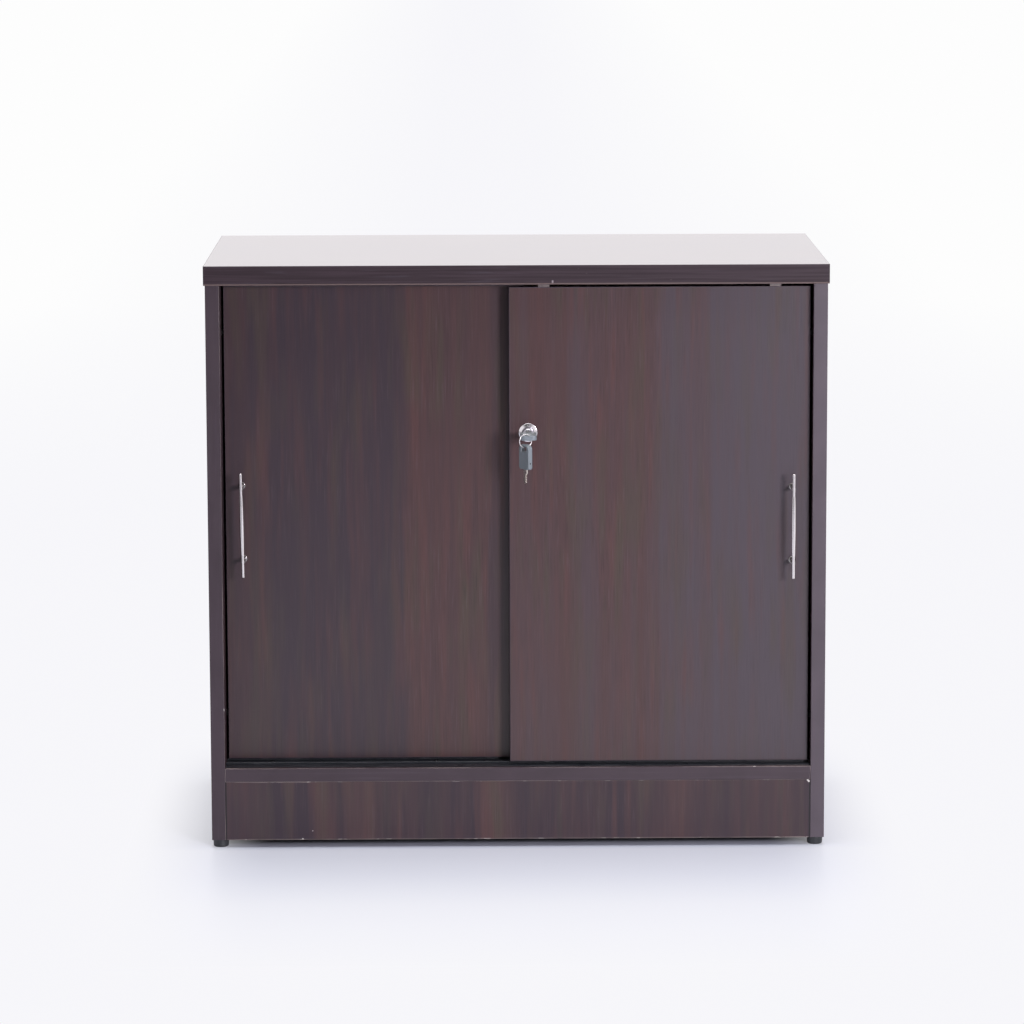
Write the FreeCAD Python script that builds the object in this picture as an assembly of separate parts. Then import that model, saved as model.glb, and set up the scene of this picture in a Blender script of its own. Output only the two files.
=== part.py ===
import FreeCAD, Part

import math
import os

from FreeCAD import Matrix, Placement, Vector

# A low office cabinet with two sliding doors, a push lock and its keys. Millimetres, +Z up, front towards -Y.
# The origin is on the floor, in the middle of the box round the cabinet with its handles and keys.

# Carcass boards
top_width = 800.0
top_depth = 400.0
top_thickness = 25.0
top_overhang = 2.0
board_thickness = 18.0
side_height = 725.0
plinth_height = 77.0
rear_plinth_inset = 24.0
back_thickness = 3.0
back_inset = 10.0
back_groove_depth = 6.0
shelf_thickness = 18.0
shelf_rise = 297.0
shelf_setback = 12.0
shelf_end_gap = 0.5
edge_band_thickness = 1.0
edge_band_round = 0.6
band_round_share = 0.7

# Fits and cuts
press_gap = 0.1
seat_gap = 0.2
run_gap = 0.05
free_gap = 0.3
cut_overrun = 5.0
same_place = 1e-6

# Board fittings
cam_diameter = 15.0
cam_depth = 12.5
cam_distance = 34.0
cam_driver_diameter = 6.0
cam_driver_depth = 2.5
cam_bolt_diameter = 7.0
cam_bolt_tail = 3.0
cam_thread_diameter = 5.0
cam_thread_length = 11.0
dowel_diameter = 8.0
dowel_length = 30.0
fitting_front_inset = 80.0
fitting_rear_inset = 60.0
dowel_spacing = 32.0
plinth_dowel_inset = 120.0
shelf_pin_diameter = 5.0
shelf_pin_length = 17.0
shelf_pin_seat = 9.0
shelf_pin_inset = 40.0
shelf_hole_pitch = 32.0
shelf_holes_each_way = 2

# Feet
foot_height = 10.0
foot_diameter = 20.5
foot_round = 2.0
foot_inset = 1.0
nail_diameter = 2.5
nail_length = 24.0
nail_seat = 6.0

# Doors
door_thickness = 15.0
door_gap = 10.0
door_setback = 14.0
door_overlap = 20.0
door_side_gap = 3.0
door_bottom_gap = 5.0
door_top_gap = 5.0
buffer_diameter = 10.0
buffer_inset = 60.0

# Bottom track
track_width = 56.0
track_base = 1.3
track_end_gap = 0.5
ridge_height = 3.5
ridge_width = 1.6
track_screw_inset = 60.0
track_screw_count = 4

# Top track
channel_width = 6.0
channel_depth = 8.0
top_track_width = 45.0
top_track_height = 10.0

# Rollers
wheel_diameter = 18.0
wheel_width = 6.0
wheel_groove_depth = 1.2
wheel_groove_floor = 2.4
wheel_groove_mouth = 3.8
wheel_side_gap = 0.4
wheel_end_gap = 1.5
axle_diameter = 3.0
roller_inset = 48.0
housing_length = 40.0
housing_thickness = 10.0
housing_height = 21.0
flange_length = 62.0
flange_thickness = 2.4
flange_screw_spacing = 51.0

# Top guides
guide_width = 14.5
guide_inset = 45.0
guide_stem_thickness = 8.0
guide_stem_depth = 12.0
guide_tongue_thickness = 5.0
guide_engagement = 6.0

# Handles
handle_length = 136.0
handle_spacing = 96.0
handle_end_diameter = 4.0
handle_shoulder_diameter = 4.5
handle_middle_diameter = 5.5
handle_middle_length = 77.0
handle_standoff = 30.0
handle_post_diameter = 5.5
handle_collar_diameter = 9.5
handle_collar_thickness = 2.0
handle_collar_round = 1.2
handle_inset = 22.0
handle_above_middle = 2.5
left_handle_tilt = 0.9

# Lock in the right door
lock_inset = 24.4
lock_above_middle = 122.0
rosette_diameter = 24.3
rosette_thickness = 3.0
rosette_round = 1.2
barrel_diameter = 19.0
barrel_rear_wall = 2.0
lock_flange_height = 40.0
lock_flange_thickness = 1.5
lock_screw_spacing = 29.0
plunger_diameter = 13.0
plunger_proud = 15.0
collar_diameter = 15.0
collar_end = 2.5
bolt_diameter = 8.0
bolt_end = 16.0
core_diameter = 9.5
core_length = 16.5
spring_wire = 0.6
spring_diameter = 11.5
spring_turns = 3

# Strike plate on the left door
strike_width = 14.0
strike_height = 52.0
strike_thickness = 3.5
strike_screw_spacing = 36.0

# Keys
key_head_length = 32.0
key_head_width = 21.0
key_head_thickness = 6.5
key_outer_round = 6.0
key_inner_round = 3.5
key_head_edge_round = 1.0
key_bar = 2.6
key_slot_length = 6.0
key_slot_width = 10.5
key_slot_round = 1.2
key_neck = 4.0
blade_width = 7.0
blade_thickness = 2.0
blade_in_lock = 15.0
blade_in_head = 10.0
blade_tip = 2.0
blade_step = 1.8
blade_step_length = 13.0
ring_diameter = 17.1
ring_wire = 1.2
ring_turn = 25.0
ring_sideways = 3.9
spare_key_turn = 55.0

# Screws: head diameter, head height, shank diameter, length
track_screw = (6.0, 1.2, 3.0, 14.0)
top_track_screw = (6.0, 2.0, 3.0, 20.0)
roller_screw = (5.6, 1.4, 3.0, 16.0)
handle_screw = (7.5, 2.0, 3.0, 26.0)
lock_screw = (5.0, 1.2, 2.5, 9.0)
strike_screw = (6.0, 1.6, 3.0, 14.0)

# Directions
full_turn = 360
quarters_in_turn = 4
right = Vector(1, 0, 0)
back = Vector(0, 1, 0)
up = Vector(0, 0, 1)

# Places across the cabinet and up it
outer_half = top_width / 2 - top_overhang
inner_half = outer_half - board_thickness
side_low = foot_height
side_high = side_low + side_height
top_high = side_high + top_thickness
bottom_low = side_low + plinth_height
bottom_high = bottom_low + board_thickness
door_low = bottom_high + door_bottom_gap
door_high = side_high - door_top_gap
door_middle = (door_low + door_high) / 2
door_width = inner_half - door_side_gap + door_overlap / 2
shelf_low = bottom_high + shelf_rise
handle_z = door_middle + handle_above_middle
lock_z = door_middle + lock_above_middle

# Places from front to back
spare_angle = math.radians(spare_key_turn)
spare_reach = key_head_width / 2 * math.sin(spare_angle) + key_head_thickness / 2 * math.cos(spare_angle)
key_reach = plunger_proud + key_neck + key_head_length - key_bar / 2 + spare_reach
front_reach = key_reach - door_setback - top_overhang
top_front = (front_reach - top_depth) / 2
carcass_front = top_front + top_overhang
carcass_back = top_front + top_depth
front_door_face = carcass_front + door_setback
rear_door_face = front_door_face + door_thickness + door_gap
front_lane = front_door_face + door_thickness / 2
rear_lane = rear_door_face + door_thickness / 2
lanes_middle = (front_lane + rear_lane) / 2
back_rear = carcass_back - back_inset
back_front = back_rear - back_thickness
shelf_front = rear_door_face + door_thickness + shelf_setback
shelf_back = back_front - seat_gap

# Each door: the side it closes against, its front face and the tilt of its handle
doors = {
    "left": (-1, rear_door_face, left_handle_tilt),
    "right": (1, front_door_face, 0.0),
}

# The lock's axis, at the front face of the right door
lock_x = inner_half - door_side_gap - door_width + lock_inset
lock_point = Vector(lock_x, front_door_face, lock_z)


def block(x0, x1, y0, y1, z0, z1):
    """A box between two corners, given in any order."""
    corner = Vector(min(x0, x1), min(y0, y1), min(z0, z1))
    return Part.makeBox(abs(x1 - x0), abs(y1 - y0), abs(z1 - z0), corner)


def rod(at, along, diameter, length):
    return Part.makeCylinder(diameter / 2, length, at, along)


def group(solids):
    return Part.makeCompound(solids)


def rounded(solid, radius, chosen):
    """The solid with the edges rounded that the test picks."""
    return solid.makeFillet(radius, [edge for edge in solid.Edges if chosen(edge)])


def runs_along(edge, direction):
    return abs(abs(edge.tangentAt(edge.FirstParameter).dot(direction)) - 1) < same_place


def at_level(edge, axis, value):
    """Does the whole edge lie at this value of x, y or z?"""
    return all(abs(getattr(vertex.Point, axis) - value) < same_place for vertex in edge.Vertexes)


def turned(profile, at, along):
    """A solid turned from a closed outline of (radius, distance along the axis) points."""
    points = [Vector(radius, 0, length) for radius, length in profile]
    face = Part.Face(Part.makePolygon(points + points[:1]))
    solid = face.revolve(Vector(0, 0, 0), up, full_turn)
    solid.Placement = Placement(at, FreeCAD.Rotation(up, along))
    return solid


def countersunk_screw(at, along, size):
    """A screw with its flat head flush at a point, pointing along a direction."""
    head, head_height, shank, length = size
    cone = Part.makeCone(head / 2, shank / 2, head_height, at, along)
    return cone.fuse(rod(at, along, shank, length)).removeSplitter()


def countersunk_hole(at, along, size):
    head, head_height, shank, length = size
    wide = head / 2 + press_gap
    narrow = shank / 2 + press_gap
    hole = rod(at, along, 2 * narrow, length + press_gap)
    return hole.fuse(Part.makeCone(wide, narrow, head_height, at, along))


def pan_screw(at, along, size):
    """A screw whose head stands on the surface at a point."""
    head, head_height, shank, length = size
    return rod(at, along, shank, length).fuse(rod(at, along * -1, head, head_height)).removeSplitter()


def shank_hole(at, along, size):
    head, head_height, shank, length = size
    return rod(at, along, shank + 2 * press_gap, length + press_gap)


def strip(x0, x1, y0, y1, z0, z1, face_axis, face_value, along):
    """An edge band strip with the long arrises of its outer face rounded."""
    solid = block(x0, x1, y0, y1, z0, z1)
    radius = min(edge_band_round, edge_band_thickness * band_round_share)
    return rounded(solid, radius, lambda e: at_level(e, face_axis, face_value) and runs_along(e, along))


# Board joints

def cam_joints():
    """Each cam joint: cam board, mating board, point on the joint, bolt direction, cam opening direction."""
    rows = []
    fitting_ys = (carcass_front + fitting_front_inset, carcass_back - fitting_rear_inset)
    side_middle = outer_half - board_thickness / 2
    for side, sign in (("left_side_panel", -1), ("right_side_panel", 1)):
        for y in fitting_ys:
            rows.append((side, "top_panel", Vector(sign * side_middle, y, side_high), up * -1, right * -sign))
            seat = Vector(sign * inner_half, y, bottom_low + board_thickness / 2)
            rows.append(("bottom_panel", side, seat, right * -sign, up * -1))
        for plinth, y, opening in plinths():
            seat = Vector(sign * inner_half, y, side_low + plinth_height / 2)
            rows.append((plinth, side, seat, right * -sign, opening))
    return rows


def plinths():
    """Each plinth board: name, the middle of its thickness and the direction its cams open."""
    rear_middle = back_front - rear_plinth_inset
    return (
        ("plinth_board", carcass_front + board_thickness / 2, back),
        ("rear_plinth_board", rear_middle, back * -1),
    )


def dowel_joints():
    """Each dowel: the board on its near side, the board on its far side, the joint point and direction."""
    rows = []
    dowel_ys = (
        carcass_front + fitting_front_inset + dowel_spacing,
        carcass_back - fitting_rear_inset - dowel_spacing,
    )
    side_middle = outer_half - board_thickness / 2
    for side, sign in (("left_side_panel", -1), ("right_side_panel", 1)):
        for y in dowel_ys:
            rows.append((side, "top_panel", Vector(sign * side_middle, y, side_high), up))
            seat = Vector(sign * inner_half, y, bottom_low + board_thickness / 2)
            rows.append(("bottom_panel", side, seat, right * sign))
        for plinth, y, opening in plinths():
            seat = Vector(sign * (inner_half - plinth_dowel_inset), y, bottom_low)
            rows.append((plinth, "bottom_panel", seat, up))
    return rows


def cam_place(joint):
    """The point on the cam board's face where a cam opens."""
    cam_board, mate, seat, along, opening = joint
    return seat + along * cam_distance + opening * (board_thickness / 2)


def fitting_cuts(board):
    """Every bore that one board needs for its cams, cam bolts and dowels."""
    cuts = []
    bolt_bore = cam_bolt_diameter + 2 * press_gap
    for joint in cam_joints():
        cam_board, mate, seat, along, opening = joint
        if board == cam_board:
            cam_bore = cam_diameter + 2 * press_gap
            cuts.append(rod(cam_place(joint), opening * -1, cam_bore, cam_depth + press_gap))
            cuts.append(rod(seat, along, bolt_bore, cam_distance + cam_bolt_tail))
        if board == mate:
            bore = cam_thread_diameter + 2 * press_gap
            cuts.append(rod(seat, along * -1, bore, cam_thread_length + press_gap))
    for near, far, seat, along in dowel_joints():
        bore = dowel_diameter + 2 * press_gap
        depth = dowel_length / 2 + press_gap
        if board == near:
            cuts.append(rod(seat, along * -1, bore, depth))
        if board == far:
            cuts.append(rod(seat, along, bore, depth))
    return cuts


def cam_locks():
    cams = []
    for joint in cam_joints():
        cam_board, mate, seat, along, opening = joint
        face = cam_place(joint)
        cam = rod(face, opening * -1, cam_diameter, cam_depth)
        bolt_reach = cam_distance + cam_bolt_tail + press_gap
        bolt_way = rod(seat, along, cam_bolt_diameter + 2 * press_gap, bolt_reach)
        driver = rod(face, opening * -1, cam_driver_diameter, cam_driver_depth)
        cams.append(cam.cut([bolt_way, driver]))
    return group(cams)


def cam_bolts():
    bolts = []
    for cam_board, mate, seat, along, opening in cam_joints():
        shank = rod(seat, along, cam_bolt_diameter, cam_distance + cam_bolt_tail)
        thread = rod(seat, along * -1, cam_thread_diameter, cam_thread_length)
        bolts.append(shank.fuse(thread).removeSplitter())
    return group(bolts)


def dowels():
    pins = []
    for near, far, seat, along in dowel_joints():
        pins.append(rod(seat - along * (dowel_length / 2), along, dowel_diameter, dowel_length))
    return group(pins)


# Carcass boards

def back_groove():
    """The room of the back panel and its clearance, in the boards round it."""
    half = inner_half + back_groove_depth
    low = bottom_high - back_groove_depth
    return block(-half, half, back_front - seat_gap, back_rear + seat_gap, low, side_high + back_groove_depth)


def top_track_recess():
    half = top_track_width / 2 + seat_gap
    low = side_high - cut_overrun
    high = side_high + top_track_height
    return block(-inner_half, inner_half, lanes_middle - half, lanes_middle + half, low, high)


def top_panel():
    half = top_width / 2 - edge_band_thickness
    board = block(-half, half, top_front + edge_band_thickness, carcass_back, side_high, top_high)
    screws = [countersunk_hole(at, up, top_track_screw) for at in top_track_screw_points()]
    return board.cut([back_groove(), top_track_recess()] + screws + fitting_cuts("top_panel"))


def top_edge_band():
    half = top_width / 2
    inside = half - edge_band_thickness
    rear = top_front + edge_band_thickness
    strips = [strip(-half, half, top_front, rear, side_high, top_high, "y", top_front, right)]
    for sign in (-1, 1):
        outer = sign * half
        strips.append(strip(sign * inside, outer, rear, carcass_back, side_high, top_high, "x", outer, back))
    return group(strips)


def shelf_pin_points():
    """Where each pin that carries the shelf meets a side panel, with the direction into that panel."""
    z = shelf_low - shelf_pin_diameter / 2
    ys = (shelf_front + shelf_pin_inset, shelf_back - shelf_pin_inset)
    return [(Vector(sign * inner_half, y, z), right * sign) for sign in (-1, 1) for y in ys]


def foot_points():
    inset = foot_inset + foot_diameter / 2
    x = outer_half - inset
    ys = (carcass_front + inset, carcass_back - inset)
    return [Vector(sign * x, y, 0) for sign in (-1, 1) for y in ys]


def side_panel(name, sign):
    front = carcass_front + edge_band_thickness
    board = block(sign * inner_half, sign * outer_half, front, carcass_back, side_low, side_high)
    cuts = fitting_cuts(name) + [back_groove()]
    for at, into in shelf_pin_points():
        for step in range(-shelf_holes_each_way, shelf_holes_each_way + 1):
            place = at + up * (step * shelf_hole_pitch)
            cuts.append(rod(place, into, shelf_pin_diameter + 2 * press_gap, shelf_pin_seat + press_gap))
    for at in foot_points():
        place = at + up * foot_height
        cuts.append(rod(place, up, nail_diameter + 2 * press_gap, nail_length - nail_seat + press_gap))
    return board.cut(cuts)


def side_edge_bands():
    rear = carcass_front + edge_band_thickness
    strips = []
    for sign in (-1, 1):
        x0 = sign * inner_half
        x1 = sign * outer_half
        strips.append(strip(x0, x1, carcass_front, rear, side_low, side_high, "y", carcass_front, up))
    return group(strips)


def bottom_panel():
    front = carcass_front + edge_band_thickness
    board = block(-inner_half, inner_half, front, carcass_back, bottom_low, bottom_high)
    screws = [shank_hole(at, up * -1, track_screw) for at in track_screw_points()]
    return board.cut([back_groove()] + screws + fitting_cuts("bottom_panel"))


def bottom_edge_band():
    front = carcass_front
    rear = front + edge_band_thickness
    return strip(-inner_half, inner_half, front, rear, bottom_low, bottom_high, "y", front, right)


def plinth(name):
    middle = {row[0]: row[1] for row in plinths()}[name]
    half = board_thickness / 2
    board = block(-inner_half, inner_half, middle - half, middle + half, side_low, bottom_low)
    return board.cut(fitting_cuts(name))


def back_panel():
    half = inner_half + back_groove_depth - seat_gap
    low = bottom_high - back_groove_depth + seat_gap
    high = side_high + back_groove_depth - seat_gap
    return block(-half, half, back_front, back_rear, low, high)


def shelf():
    half = inner_half - shelf_end_gap
    front = shelf_front + edge_band_thickness
    return block(-half, half, front, shelf_back, shelf_low, shelf_low + shelf_thickness)


def shelf_edge_band():
    half = inner_half - shelf_end_gap
    rear = shelf_front + edge_band_thickness
    high = shelf_low + shelf_thickness
    return strip(-half, half, shelf_front, rear, shelf_low, high, "y", shelf_front, right)


def shelf_pins():
    pins = []
    for at, into in shelf_pin_points():
        start = at + into * (shelf_pin_seat - shelf_pin_length)
        pins.append(rod(start, into, shelf_pin_diameter, shelf_pin_length))
    return group(pins)


def feet():
    glides = []
    for at in foot_points():
        glide = rounded(rod(at, up, foot_diameter, foot_height), foot_round, lambda e: at_level(e, "z", 0))
        socket = rod(at + up * (foot_height - nail_seat), up, nail_diameter + 2 * press_gap, nail_seat)
        glides.append(glide.cut(socket))
    return group(glides)


def foot_nails():
    start = up * (foot_height - nail_seat)
    return group([rod(at + start, up, nail_diameter, nail_length) for at in foot_points()])


def door_buffers():
    thickness = door_side_gap - free_gap
    buffers = []
    for sign, face, tilt in doors.values():
        for z in (door_low + buffer_inset, door_high - buffer_inset):
            at = Vector(sign * inner_half, face + door_thickness / 2, z)
            buffers.append(rod(at, right * -sign, buffer_diameter, thickness))
    return group(buffers)


# Tracks

def along_track(count, inset):
    """Evenly spaced places along a track, from inset to inset."""
    first = inset - inner_half
    step = -2 * first / (count - 1)
    return [first + step * index for index in range(count)]


def track_screw_points():
    z = bottom_high + track_base
    return [Vector(x, lanes_middle, z) for x in along_track(track_screw_count, track_screw_inset)]


def top_track_screw_points():
    return [Vector(x, lanes_middle, side_high) for x in along_track(track_screw_count, track_screw_inset)]


def bottom_track():
    half = inner_half - track_end_gap
    front = lanes_middle - track_width / 2
    track = block(-half, half, front, front + track_width, bottom_high, bottom_high + track_base)
    shoulder = bottom_high + ridge_height - ridge_width / 2
    for lane in (front_lane, rear_lane):
        web = block(-half, half, lane - ridge_width / 2, lane + ridge_width / 2, bottom_high, shoulder)
        crown = rod(Vector(-half, lane, shoulder), right, ridge_width, 2 * half)
        track = track.fuse([web, crown])
    holes = [shank_hole(at, up * -1, track_screw) for at in track_screw_points()]
    return track.cut(holes).removeSplitter()


def bottom_track_screws():
    return group([pan_screw(at, up * -1, track_screw) for at in track_screw_points()])


def top_track():
    half = inner_half - track_end_gap
    front = lanes_middle - top_track_width / 2
    track = block(-half, half, front, front + top_track_width, side_high, side_high + top_track_height)
    cuts = [countersunk_hole(at, up, top_track_screw) for at in top_track_screw_points()]
    for lane in (front_lane, rear_lane):
        side = channel_width / 2
        high = side_high + channel_depth
        cuts.append(block(-inner_half, inner_half, lane - side, lane + side, side_high, high))
    return track.cut(cuts)


def top_track_screws():
    return group([countersunk_screw(at, up, top_track_screw) for at in top_track_screw_points()])


# Doors

def door_x(sign, inset):
    """A place on a door, measured in from the edge that closes against the cabinet's side."""
    return sign * (inner_half - door_side_gap - inset)


def roller_places(door):
    """The middle of each roller of a door, at the door's lower edge, from left to right."""
    sign, face, tilt = doors[door]
    xs = sorted(door_x(sign, inset) for inset in (roller_inset, door_width - roller_inset))
    return [Vector(x, face + door_thickness / 2, door_low) for x in xs]


def housing_body(at, gap):
    """The outside of a roller housing, grown by a gap on its sides and top."""
    x, y, z = at
    side = housing_thickness / 2 + gap
    half = housing_length / 2 + gap
    plate = flange_length / 2 + gap
    body = block(x - half, x + half, y - side, y + side, z, z + housing_height + gap)
    flange = block(x - plate, x + plate, y - side, y + side, z, z + flange_thickness + gap)
    return body.fuse(flange).removeSplitter()


def flange_screw_points(at):
    return [at + right * (sign * flange_screw_spacing / 2) for sign in (-1, 1)]


def guide_places(door):
    sign, face, tilt = doors[door]
    xs = (door_x(sign, guide_inset), door_x(sign, door_width - guide_inset))
    return [Vector(x, face + door_thickness / 2, door_high) for x in xs]


def guide_stem(at, gap):
    x, y, z = at
    half = guide_width / 2 + gap
    side = guide_stem_thickness / 2 + gap
    return block(x - half, x + half, y - side, y + side, z - guide_stem_depth - gap, z)


def handle_axis(door):
    sign, face, tilt = doors[door]
    angle = math.radians(tilt)
    return Vector(sign * math.sin(angle), 0, math.cos(angle))


def handle_middle(door):
    """The point on the door's face behind the middle of its handle."""
    sign, face, tilt = doors[door]
    return Vector(door_x(sign, handle_inset), face, handle_z)


def handle_post_points(door):
    return [handle_middle(door) + handle_axis(door) * (end * handle_spacing / 2) for end in (-1, 1)]


def handle_screw_points(door):
    return [at + back * door_thickness for at in handle_post_points(door)]


def door_cuts(door):
    """Every pocket and hole of one door, through its board and its edge bands."""
    cuts = []
    for at in roller_places(door):
        cuts.append(housing_body(at, seat_gap))
        cuts += [shank_hole(place, up, roller_screw) for place in flange_screw_points(at)]
    cuts += [guide_stem(at, seat_gap) for at in guide_places(door)]
    cuts += [shank_hole(at, back * -1, handle_screw) for at in handle_screw_points(door)]
    if door == "left":
        cuts += [shank_hole(at, back, strike_screw) for at in strike_screw_points()]
    else:
        cuts.append(lock_barrel(seat_gap))
        cuts.append(lock_flange(seat_gap))
        cuts += [shank_hole(at, back * -1, lock_screw) for at in lock_screw_points()]
    return cuts


def door_panel(door):
    sign, face, tilt = doors[door]
    outer = door_x(sign, edge_band_thickness)
    inner = door_x(sign, door_width - edge_band_thickness)
    low = door_low + edge_band_thickness
    high = door_high - edge_band_thickness
    return block(outer, inner, face, face + door_thickness, low, high).cut(door_cuts(door))


def door_edge_band(door):
    sign, face, tilt = doors[door]
    rear = face + door_thickness
    band = edge_band_thickness
    strips = []
    for outer, inner in ((0, band), (door_width, door_width - band)):
        x0 = door_x(sign, outer)
        strips.append(strip(x0, door_x(sign, inner), face, rear, door_low, door_high, "x", x0, up))
    x0 = door_x(sign, band)
    x1 = door_x(sign, door_width - band)
    cuts = door_cuts(door)
    for z0, z1 in ((door_low, door_low + band), (door_high, door_high - band)):
        strips += block(x0, x1, face, rear, z0, z1).cut(cuts).Solids
    return group(strips)


def roller_housing(at):
    x, y, z = at
    wheel_half = wheel_diameter / 2 + wheel_end_gap
    slot_side = wheel_width / 2 + wheel_side_gap
    slot_high = wheel_axis_z() + wheel_half
    slot = block(x - wheel_half, x + wheel_half, y - slot_side, y + slot_side, z, slot_high)
    axle_start = Vector(x, y - housing_thickness / 2, wheel_axis_z())
    axle_hole = rod(axle_start, back, axle_diameter + 2 * press_gap, housing_thickness)
    screws = [countersunk_hole(place, up, roller_screw) for place in flange_screw_points(at)]
    return housing_body(at, 0).cut([slot, axle_hole] + screws)


def wheel_axis_z():
    tread = wheel_diameter / 2 - wheel_groove_depth
    return bottom_high + ridge_height + free_gap + tread


def roller_housings(door):
    return group([roller_housing(at) for at in roller_places(door)])


def roller_screws(door):
    points = [place for at in roller_places(door) for place in flange_screw_points(at)]
    return group([countersunk_screw(place, up, roller_screw) for place in points])


def roller_axles(door):
    starts = [Vector(at.x, at.y - housing_thickness / 2, wheel_axis_z()) for at in roller_places(door)]
    return group([rod(start, back, axle_diameter, housing_thickness) for start in starts])


def roller_wheel(at):
    """A wheel with a groove that runs on a ridge of the bottom track."""
    bore = axle_diameter / 2 + run_gap
    rim = wheel_diameter / 2
    tread = rim - wheel_groove_depth
    side = wheel_width / 2
    mouth = wheel_groove_mouth / 2
    floor = wheel_groove_floor / 2
    outline = [
        (bore, -side), (rim, -side), (rim, -mouth), (tread, -floor),
        (tread, floor), (rim, mouth), (rim, side), (bore, side),
    ]
    return turned(outline, Vector(at.x, at.y, wheel_axis_z()), back)


def top_guides(door):
    guides = []
    for at in guide_places(door):
        x, y, z = at
        half = guide_width / 2
        side = guide_tongue_thickness / 2
        tongue = block(x - half, x + half, y - side, y + side, z, side_high + guide_engagement)
        guides.append(guide_stem(at, 0).fuse(tongue).removeSplitter())
    return group(guides)


# Handles

def handle_bar(door):
    """A slim round bar whose middle stretch starts at a small step and swells like a barrel."""
    shoulder = handle_shoulder_diameter / 2
    belly = handle_middle_length / 2
    middle = handle_middle_diameter / 2
    radii = (shoulder, 0, 0, shoulder)
    corners = [Vector(radius, 0, end) for radius, end in zip(radii, (belly, belly, -belly, -belly))]
    swell = Part.Arc(corners[-1], Vector(middle, 0, 0), corners[0]).toShape()
    outline = Part.Wire(Part.makePolygon(corners).Edges + [swell])
    barrel = Part.Face(outline).revolve(Vector(), up, full_turn)
    slim = rod(up * (-handle_length / 2), up, handle_end_diameter, handle_length)
    bar = slim.fuse(barrel).removeSplitter()
    centre = handle_middle(door) - back * (handle_standoff - middle)
    bar.Placement = Placement(centre, FreeCAD.Rotation(up, handle_axis(door)))
    return bar


def handle_posts(door):
    bar = handle_bar(door)
    length = handle_standoff - handle_middle_diameter / 2
    bite = handle_screw[3] - door_thickness
    posts = []
    for at in handle_post_points(door):
        socket = rod(at, back * -1, handle_screw[2] + 2 * press_gap, bite + press_gap)
        collar = rod(at, back * -1, handle_collar_diameter, handle_collar_thickness)
        rim = at.y - handle_collar_thickness
        collar = rounded(collar, handle_collar_round, lambda e: at_level(e, "y", rim))
        post = rod(at, back * -1, handle_post_diameter, length).fuse(collar)
        posts.append(post.cut([bar, socket]).removeSplitter().Solids[0])
    return group(posts)


def handle_screws(door):
    return group([pan_screw(at, back * -1, handle_screw) for at in handle_screw_points(door)])


# Lock

def lock_at(distance):
    """A point on the lock's axis, this far behind the right door's front face."""
    return lock_point + back * distance


def lock_barrel(gap):
    return rod(lock_point, back, barrel_diameter + 2 * gap, door_thickness)


def lock_flange(gap):
    """The upright plate at the housing's rear, with rounded ends, set flush in the door's back."""
    radius = barrel_diameter / 2 + gap
    reach = lock_flange_height / 2 - barrel_diameter / 2
    start = lock_at(door_thickness - lock_flange_thickness - gap)
    depth = lock_flange_thickness + gap
    ends = [rod(start + up * (sign * reach), back, 2 * radius, depth) for sign in (-1, 1)]
    x, y, z = start
    middle = block(x - radius, x + radius, y, y + depth, z - reach, z + reach)
    return middle.fuse(ends).removeSplitter()


def lock_screw_points():
    return [lock_at(door_thickness) + up * (sign * lock_screw_spacing / 2) for sign in (-1, 1)]


def lock_housing():
    bore_length = door_thickness - barrel_rear_wall
    bore = rod(lock_point, back, collar_diameter + 2 * run_gap, bore_length)
    bolt_way = rod(lock_at(bore_length), back, bolt_diameter + 2 * free_gap, barrel_rear_wall)
    screws = [countersunk_hole(at, back * -1, lock_screw) for at in lock_screw_points()]
    return lock_barrel(0).fuse(lock_flange(0)).removeSplitter().cut([bore, bolt_way] + screws)


def lock_screws():
    return group([countersunk_screw(at, back * -1, lock_screw) for at in lock_screw_points()])


def lock_rosette():
    front = lock_at(-rosette_thickness)
    disc = rod(front, back, rosette_diameter, rosette_thickness)
    disc = rounded(disc, rosette_round, lambda e: at_level(e, "y", front.y) and len(e.Vertexes) == 1)
    return disc.cut(rod(front, back, plunger_diameter + 2 * run_gap, rosette_thickness))


def lock_plunger():
    """The part that is pushed in: its head carries the lock core, its rear end is the bolt."""
    head = rod(lock_at(-plunger_proud), back, plunger_diameter, plunger_proud + free_gap)
    collar = rod(lock_at(free_gap), back, collar_diameter, collar_end - free_gap)
    bolt = rod(lock_at(collar_end), back, bolt_diameter, bolt_end - collar_end)
    bore = rod(lock_at(-plunger_proud), back, core_diameter + 2 * run_gap, core_length + run_gap)
    return head.fuse([collar, bolt]).removeSplitter().cut(bore)


def tangent_arc(start, corner, end):
    """The arc from start to end that touches the two lines through the corner between them."""
    chord_middle = (start + end) / 2
    lean = (end - start).Length / 2 / (corner - start).Length
    return Part.Arc(start, corner + (chord_middle - corner) / (1 + lean), end).toShape()


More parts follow.
